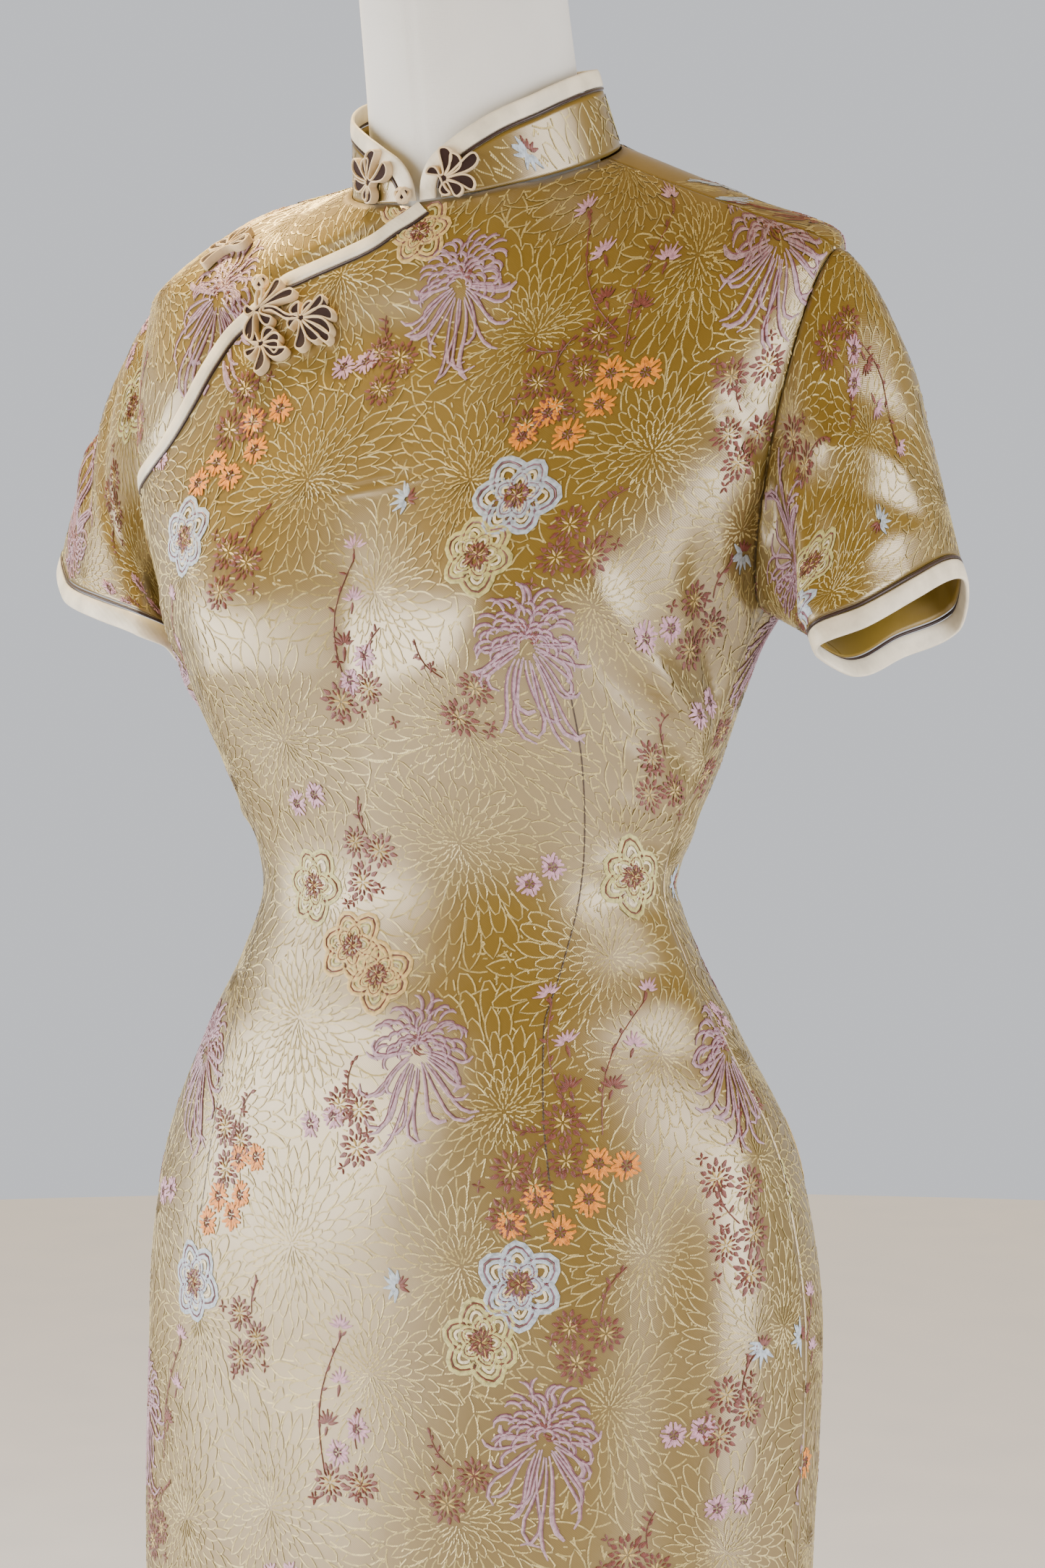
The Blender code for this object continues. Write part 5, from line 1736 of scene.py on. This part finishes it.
def turned_mesh(name, outline, segments=96):
    """A body of revolution about the pole's axis, from its outline of radius and height pairs."""
    body = bmesh.new()
    corners = [body.verts.new((radius, 0, height)) for radius, height in outline]
    edges = [body.edges.new(pair) for pair in zip(corners, corners[1:])]
    bmesh.ops.spin(body, geom=corners + edges, axis=(0, 0, 1), cent=(0, 0, 0), steps=segments,
                   angle=2 * math.pi, use_merge=True)
    bmesh.ops.remove_doubles(body, verts=body.verts[:], dist=1e-6)
    bmesh.ops.recalc_face_normals(body, faces=body.faces[:])
    mesh = bpy.data.meshes.new(name)
    body.to_mesh(mesh)
    body.free()
    return mesh


class CHEONGSAM_OT_stage(bpy.types.Operator):
    """Set the camera, the soft lights and the pale floor"""
    bl_idname = "cheongsam.stage"
    bl_label = "Stage"

    def execute(self, context):
        settings = context.scene.cheongsam_stage
        azimuth = math.radians(CAMERA_AZIMUTH)
        right = Vector((math.cos(azimuth), math.sin(azimuth), 0))
        forward = Vector((-math.sin(azimuth), math.cos(azimuth), 0))
        lens = bpy.data.cameras.new("photo_camera")
        lens.sensor_fit = "VERTICAL"
        lens.sensor_height = 36.0
        lens.lens = 36.0 * FOCAL_PIXELS / IMAGE_SIZE[1]
        lens.clip_start = 0.05
        camera = bpy.data.objects.new("photo_camera", lens)
        camera.location = right * CAMERA_SHIFT - forward * CAMERA_DISTANCE + Vector((0, 0, CAMERA_HEIGHT))
        camera.rotation_euler = (math.pi / 2, 0, azimuth)
        context.scene.collection.objects.link(camera)
        context.scene.camera = camera
        self.floor(context, settings)
        self.light(context, "key_softbox", -50, 1, 2.4, (3.5, 1.35), settings.key_power, (1.0, 0.98, 0.95))
        self.light(context, "side_softbox", 90, 6, 2.3, (1.9, 1.8), settings.side_power, (0.98, 0.98, 1.0))
        self.spot(context, "warm_spot", (-0.50, 0.16, 2.35), (-0.155, -0.01, 1.33), settings.warm_power)
        self.room(context, settings, forward)
        return {"FINISHED"}

    def room(self, context, settings, forward):
        """Even light all round: pale behind the object, dim towards the camera and warm above."""
        world = bpy.data.worlds.new("room")
        world.use_nodes = True
        tree = world.node_tree
        where = tree.nodes.new("ShaderNodeTexCoord").outputs["Generated"]
        facing = tree.nodes.new("ShaderNodeVectorMath")
        facing.operation = "DOT_PRODUCT"
        facing.inputs[1].default_value = forward
        tree.links.new(where, facing.inputs[0])
        height = tree.nodes.new("ShaderNodeSeparateXYZ")
        tree.links.new(where, height.inputs[0])
        colour = (0.86, 0.88, 0.93, 1.0)
        before = None
        above = tree.nodes.new("ShaderNodeMath")
        above.operation = "MULTIPLY_ADD"
        above.inputs[1].default_value = -0.25
        tree.links.new(facing.outputs["Value"], above.inputs[0])
        tree.links.new(height.outputs["Z"], above.inputs[2])
        for value, low, high, other in ((facing.outputs["Value"], 0.88, 0.05, settings.room_shade),
                                        (above.outputs[0], 0.06, 0.42, settings.room_top)):
            share = tree.nodes.new("ShaderNodeMapRange")
            share.interpolation_type = "SMOOTHSTEP"
            share.inputs["From Min"].default_value, share.inputs["From Max"].default_value = low, high
            tree.links.new(value, share.inputs["Value"])
            mixed = tree.nodes.new("ShaderNodeMix")
            mixed.data_type = "RGBA"
            mixed.inputs[6].default_value = colour
            mixed.inputs[7].default_value = (*other, 1.0)
            tree.links.new(share.outputs["Result"], mixed.inputs[0])
            if before is not None:
                tree.links.new(before, mixed.inputs[6])
            before = mixed.outputs[2]
        background = tree.nodes["Background"]
        tree.links.new(before, background.inputs["Color"])
        background.inputs["Strength"].default_value = settings.room_light
        context.scene.world = world

    def spot(self, context, name, stand, target, power):
        """A warm spot from the ceiling on the wearer's right shoulder."""
        lamp = bpy.data.lights.new(name, "SPOT")
        lamp.energy = power
        lamp.color = (1.0, 0.74, 0.38)
        lamp.spot_size = math.radians(20)
        lamp.spot_blend = 1.0
        lamp.shadow_soft_size = 0.12
        made = bpy.data.objects.new(name, lamp)
        made.location = stand
        made.rotation_euler = (Vector(stand) - Vector(target)).to_track_quat("Z", "Y").to_euler()
        context.scene.collection.objects.link(made)

    def light(self, context, name, azimuth, elevation, distance, size, power, colour):
        """A large square light that looks at the bust. Azimuth 0 is straight ahead of the wearer."""
        lamp = bpy.data.lights.new(name, "AREA")
        lamp.shape = "RECTANGLE"
        lamp.size, lamp.size_y = size
        lamp.energy = power
        lamp.color = colour
        made = bpy.data.objects.new(name, lamp)
        a, e = math.radians(azimuth), math.radians(elevation)
        away = Vector((math.sin(a) * math.cos(e), -math.cos(a) * math.cos(e), math.sin(e)))
        target = Vector((0, 0, 1.10))
        made.location = target + away * distance
        made.rotation_euler = away.to_track_quat("Z", "Y").to_euler()
        context.scene.collection.objects.link(made)

    def floor(self, context, settings):
        ground = bmesh.new()
        bmesh.ops.create_circle(ground, cap_ends=True, radius=6.0, segments=96)
        mesh = bpy.data.meshes.new("pale_floor")
        ground.to_mesh(mesh)
        ground.free()
        made = bpy.data.objects.new("pale_floor", mesh)
        context.scene.collection.objects.link(made)
        mesh.materials.append(plain_finish("floor_paint", tuple(settings.floor_colour), 0.7, 6.0, 0.50))


class CHEONGSAM_OT_form(bpy.types.Operator):
    """Build the linen-covered dress form with its seams"""
    bl_idname = "cheongsam.form"
    bl_label = "Dress form"

    def execute(self, context):
        turns = np.linspace(0, 2 * math.pi, 121)
        armhole = ARMHOLE_MIDDLE + ARMHOLE_REACH * np.cos(np.linspace(math.pi, 0, 22))
        heights = np.concatenate([spaced((FORM_BOTTOM, 36), (ARMPIT_HEIGHT, 0))[:-1], armhole,
                                  spaced((SHOULDER_TIP_HEIGHT, 9), (1.356, 0))[1:]])
        rings = []
        for height in heights:
            at = np.full_like(turns, height)
            on_ridge = np.clip((np.abs(np.sin(turns)) - 0.965) / 0.03, 0, 1)
            on_ridge = on_ridge * (height >= SHOULDER_TIP_HEIGHT - 1e-6)
            drop = FORM_CLEARANCE + (FORM_SEAT - FORM_CLEARANCE) * on_ridge
            rings.append(dress(turns, at) - normals(dress, turns, at) * drop[:, None])
        stations = [ring.height for ring in NECK_RINGS]
        fields = [profile(stations, [getattr(ring, field) for ring in NECK_RINGS]) for field in Ring._fields]
        for height in np.linspace(NECK_RINGS[0].height, NECK_RINGS[-1].height - 0.004, 34):
            groove = 1 - 0.012 * np.exp(-(np.sin(turns / 2) / 0.010) ** 2)
            ring = Ring(*[float(field(height)) for field in fields])
            rings.append(oval(ring, turns) * np.stack([groove, groove, np.ones_like(groove)], 1))
        last = NECK_RINGS[-1]
        for inwards, drop in ((0.0012, 0.0012), (0.004, 0.0)):
            rings.append(oval(Ring(last.height - drop, last.half_width - inwards, last.half_depth - inwards,
                                   last.centre, 0.0), turns))
        mesh = sheet_mesh("form_shell", np.array(rings), merge=True)
        closed = bmesh.new()
        closed.from_mesh(mesh)
        bmesh.ops.holes_fill(closed, edges=closed.edges[:], sides=0)
        bmesh.ops.recalc_face_normals(closed, faces=closed.faces[:])
        closed.to_mesh(mesh)
        closed.free()
        linen = finish("linen", lambda: linen_finish((0.72, 0.72, 0.70)))
        add_piece("form_shell", mesh, [linen], ["form_body"])
        return {"FINISHED"}


class CHEONGSAM_OT_stand(bpy.types.Operator):
    """Build the stand's round base, its socket and its pole"""
    bl_idname = "cheongsam.stand"
    bl_label = "Stand"

    def execute(self, context):
        metal = finish("metal", lambda: metal_finish("stand_satin_metal", (0.58, 0.58, 0.60)))
        edge = 0.004
        bore = POLE_RADIUS + SEAM_GAP
        round_over = [(BASE_RADIUS - edge + edge * math.sin(a), BASE_THICKNESS - edge + edge * math.cos(a))
                      for a in np.linspace(math.pi / 2, 0, 6)]
        base = [(0, 0), (BASE_RADIUS - edge, 0), (BASE_RADIUS, edge)] + round_over
        base += [(SOCKET_RADIUS + edge, BASE_THICKNESS), (SOCKET_RADIUS + 0.001, BASE_THICKNESS + 0.0012),
                 (SOCKET_RADIUS, BASE_THICKNESS + edge), (SOCKET_RADIUS, SOCKET_HEIGHT - 0.0015),
                 (SOCKET_RADIUS - 0.0015, SOCKET_HEIGHT), (bore, SOCKET_HEIGHT),
                 (bore, BASE_THICKNESS + 0.001),
                 (0, BASE_THICKNESS + 0.001)]
        add_piece("base_plate", turned_mesh("base_plate", base), [metal], ["stand_base"], 30)
        low, high = BASE_THICKNESS + 0.001 + SEAM_GAP, FORM_BOTTOM - SEAM_GAP
        pole = [(0, low), (POLE_RADIUS, low), (POLE_RADIUS, high), (0, high)]
        add_piece("pole_tube", turned_mesh("pole_tube", pole, 48), [metal], ["stand_pole"], 30)
        return {"FINISHED"}


class CHEONGSAM_OT_panels(bpy.types.Operator):
    """Build the front, the under front and the back of the dress"""
    bl_idname = "cheongsam.panels"
    bl_label = "Dress panels"

    def execute(self, context):
        for key in ("front_panel", "under_front", "back_panel"):
            add_cloth(CLOTH_NAMES[key], key, brocade(context.scene.cheongsam))
        return {"FINISHED"}


class CHEONGSAM_OT_sleeves(bpy.types.Operator):
    """Build the two short sleeves with their soft folds"""
    bl_idname = "cheongsam.sleeves"
    bl_label = "Sleeves"

    def execute(self, context):
        for key in ("left_sleeve", "right_sleeve"):
            add_cloth(CLOTH_NAMES[key], key, brocade(context.scene.cheongsam))
        return {"FINISHED"}


class CHEONGSAM_OT_collar(bpy.types.Operator):
    """Build the stand collar's band"""
    bl_idname = "cheongsam.collar"
    bl_label = "Collar"

    def execute(self, context):
        add_cloth(CLOTH_NAMES["collar_band"], "collar_band", brocade(context.scene.cheongsam))
        return {"FINISHED"}


class CHEONGSAM_OT_trims(bpy.types.Operator):
    """Build the cream bindings and the dark pipings of collar, opening and cuffs"""
    bl_idname = "cheongsam.trims"
    bl_label = "Bindings and pipings"

    def execute(self, context):
        opening = opening_line(170)
        trim("opening", dress, opening, inset(dress, opening, -BINDING_WIDTH),
             inset(dress, opening, -PIPING_CENTRE))
        edge = collar_line(110)
        inner = inset(collar, edge, BINDING_WIDTH)
        inner[:, 1] = np.maximum(inner[:, 1], COLLAR_FOOT)
        line = inset(collar, edge, PIPING_CENTRE)
        trim("collar", collar, edge, inner, line[line[:, 1] > 0.06])
        cuff_trim("left", LEFT_HEM, 1)
        cuff_trim("right", RIGHT_HEM, -1)
        return {"FINISHED"}


class CHEONGSAM_OT_darts(bpy.types.Operator):
    """Lay the front's darts as thin dark seam strips, partly stitches and partly painted shade of the seam's groove
    """
    bl_idname = "cheongsam.darts"
    bl_label = "Dart seams"

    def execute(self, context):
        # The dart seam's dark brown thread is partly the stitches and partly painted shade of the groove that the
        # seam draws in, which the cloth itself lacks.
        seam = finish("seam", lambda: thread_finish("dart_stitches_and_painted_shade", (0.050, 0.026, 0.010), 0.0, 0.0012))
        mesh = dart_strips(DARTS).mesh("darts_front_cloth", CLOTHS["front_panel"], 0.0001, 0.0003)
        add_piece("darts_front_cloth", mesh, [seam])
        return {"FINISHED"}


class CHEONGSAM_OT_frogs(bpy.types.Operator):
    """Build the looped frogs and their ball knots"""
    bl_idname = "cheongsam.frogs"
    bl_label = "Frogs"

    def execute(self, context):
        settings = context.scene.cheongsam
        finishes = [frog_satin(settings), frog_filling()]
        rng = random.Random("frogs")
        for surface, frogs in ((collar, COLLAR_FROGS), (dress, OPENING_FROGS)):
            for frog in frogs:
                mesh = frog_mesh(frog, surface, rng)
                add_piece(frog.replaced + "_strip", mesh, finishes, [frog.replaced], 40)
        for name, surface, place_at in (("collar_knot", collar, COLLAR_KNOT),
                                        ("opening_knot", dress, OPENING_KNOT)):
            mesh = knot_mesh(name + "_button", surface, place_at)
            add_piece(name + "_button", mesh, finishes, [name], 40)
        _, inner, outer, _ = OPENING_FROGS
        add_piece("frog_link", link_mesh("frog_link", inner, outer), finishes, smooth=40)
        add_piece("knot_loop", tab_mesh("knot_loop", inner, OPENING_KNOT), finishes, smooth=40)
        return {"FINISHED"}


class CHEONGSAM_OT_ground_flowers(bpy.types.Operator):
    """Weave the outlined flower heads of the brocade's ground"""
    bl_idname = "cheongsam.ground_flowers"
    bl_label = "Ground flowers"

    def execute(self, context):
        settings = context.scene.cheongsam
        for key, cloth in CLOTHS.items():
            name = f"outlines_{CLOTH_NAMES[key]}"
            mesh = ground_strips(key).mesh(name, cloth, 0.00012, 0.45 * settings.relief)
            add_piece(name, mesh, [outline_thread(settings)])
        return {"FINISHED"}


class CHEONGSAM_OT_coloured_flowers(bpy.types.Operator):
    """Weave the coloured flowers that lie over the ground"""
    bl_idname = "cheongsam.coloured_flowers"
    bl_label = "Coloured flowers"

    def execute(self, context):
        settings = context.scene.cheongsam
        finishes = [finish(name, lambda: thread_finish(f"{name}_thread", colour))
                    for name, colour in THREADS.items()]
        for key, cloth in CLOTHS.items():
            name = f"flowers_{CLOTH_NAMES[key]}"
            mesh = coloured_strips(key).mesh(name, cloth, 0.0003, settings.relief)
            add_piece(name, mesh, finishes)
        return {"FINISHED"}


class CHEONGSAM_PT_sidebar(bpy.types.Panel):
    """Lists the pieces of the cheongsam"""
    bl_idname = "CHEONGSAM_PT_sidebar"
    bl_label = "Cheongsam"
    bl_space_type = "VIEW_3D"
    bl_region_type = "UI"
    bl_category = "Cheongsam"

    def draw(self, context):
        for settings in (context.scene.cheongsam, context.scene.cheongsam_stage):
            for name in settings.__annotations__:
                self.layout.prop(settings, name)
        for operator in OPERATORS:
            self.layout.operator(operator.bl_idname)


OPERATORS = (
    CHEONGSAM_OT_stage,
    CHEONGSAM_OT_form,
    CHEONGSAM_OT_stand,
    CHEONGSAM_OT_panels,
    CHEONGSAM_OT_sleeves,
    CHEONGSAM_OT_collar,
    CHEONGSAM_OT_trims,
    CHEONGSAM_OT_darts,
    CHEONGSAM_OT_frogs,
    CHEONGSAM_OT_ground_flowers,
    CHEONGSAM_OT_coloured_flowers,
)
CLASSES = (CheongsamSettings, CheongsamStageSettings, *OPERATORS, CHEONGSAM_PT_sidebar)


def register():
    for item in CLASSES:
        bpy.utils.register_class(item)
    bpy.types.Scene.cheongsam = PointerProperty(type=CheongsamSettings)
    bpy.types.Scene.cheongsam_stage = PointerProperty(type=CheongsamStageSettings)


def unregister():
    del bpy.types.Scene.cheongsam_stage
    del bpy.types.Scene.cheongsam
    for item in reversed(CLASSES):
        bpy.utils.unregister_class(item)


def main():
    register()
    bpy.ops.cheongsam.stage()
    bpy.ops.cheongsam.form()
    bpy.ops.cheongsam.stand()
    bpy.ops.cheongsam.panels()
    bpy.ops.cheongsam.sleeves()
    bpy.ops.cheongsam.collar()
    bpy.ops.cheongsam.trims()
    bpy.ops.cheongsam.darts()
    bpy.ops.cheongsam.frogs()
    bpy.ops.cheongsam.ground_flowers()
    bpy.ops.cheongsam.coloured_flowers()
    for key in CLOTHS:
        declare_sheet(key)


if __name__ == "__main__":
    main()
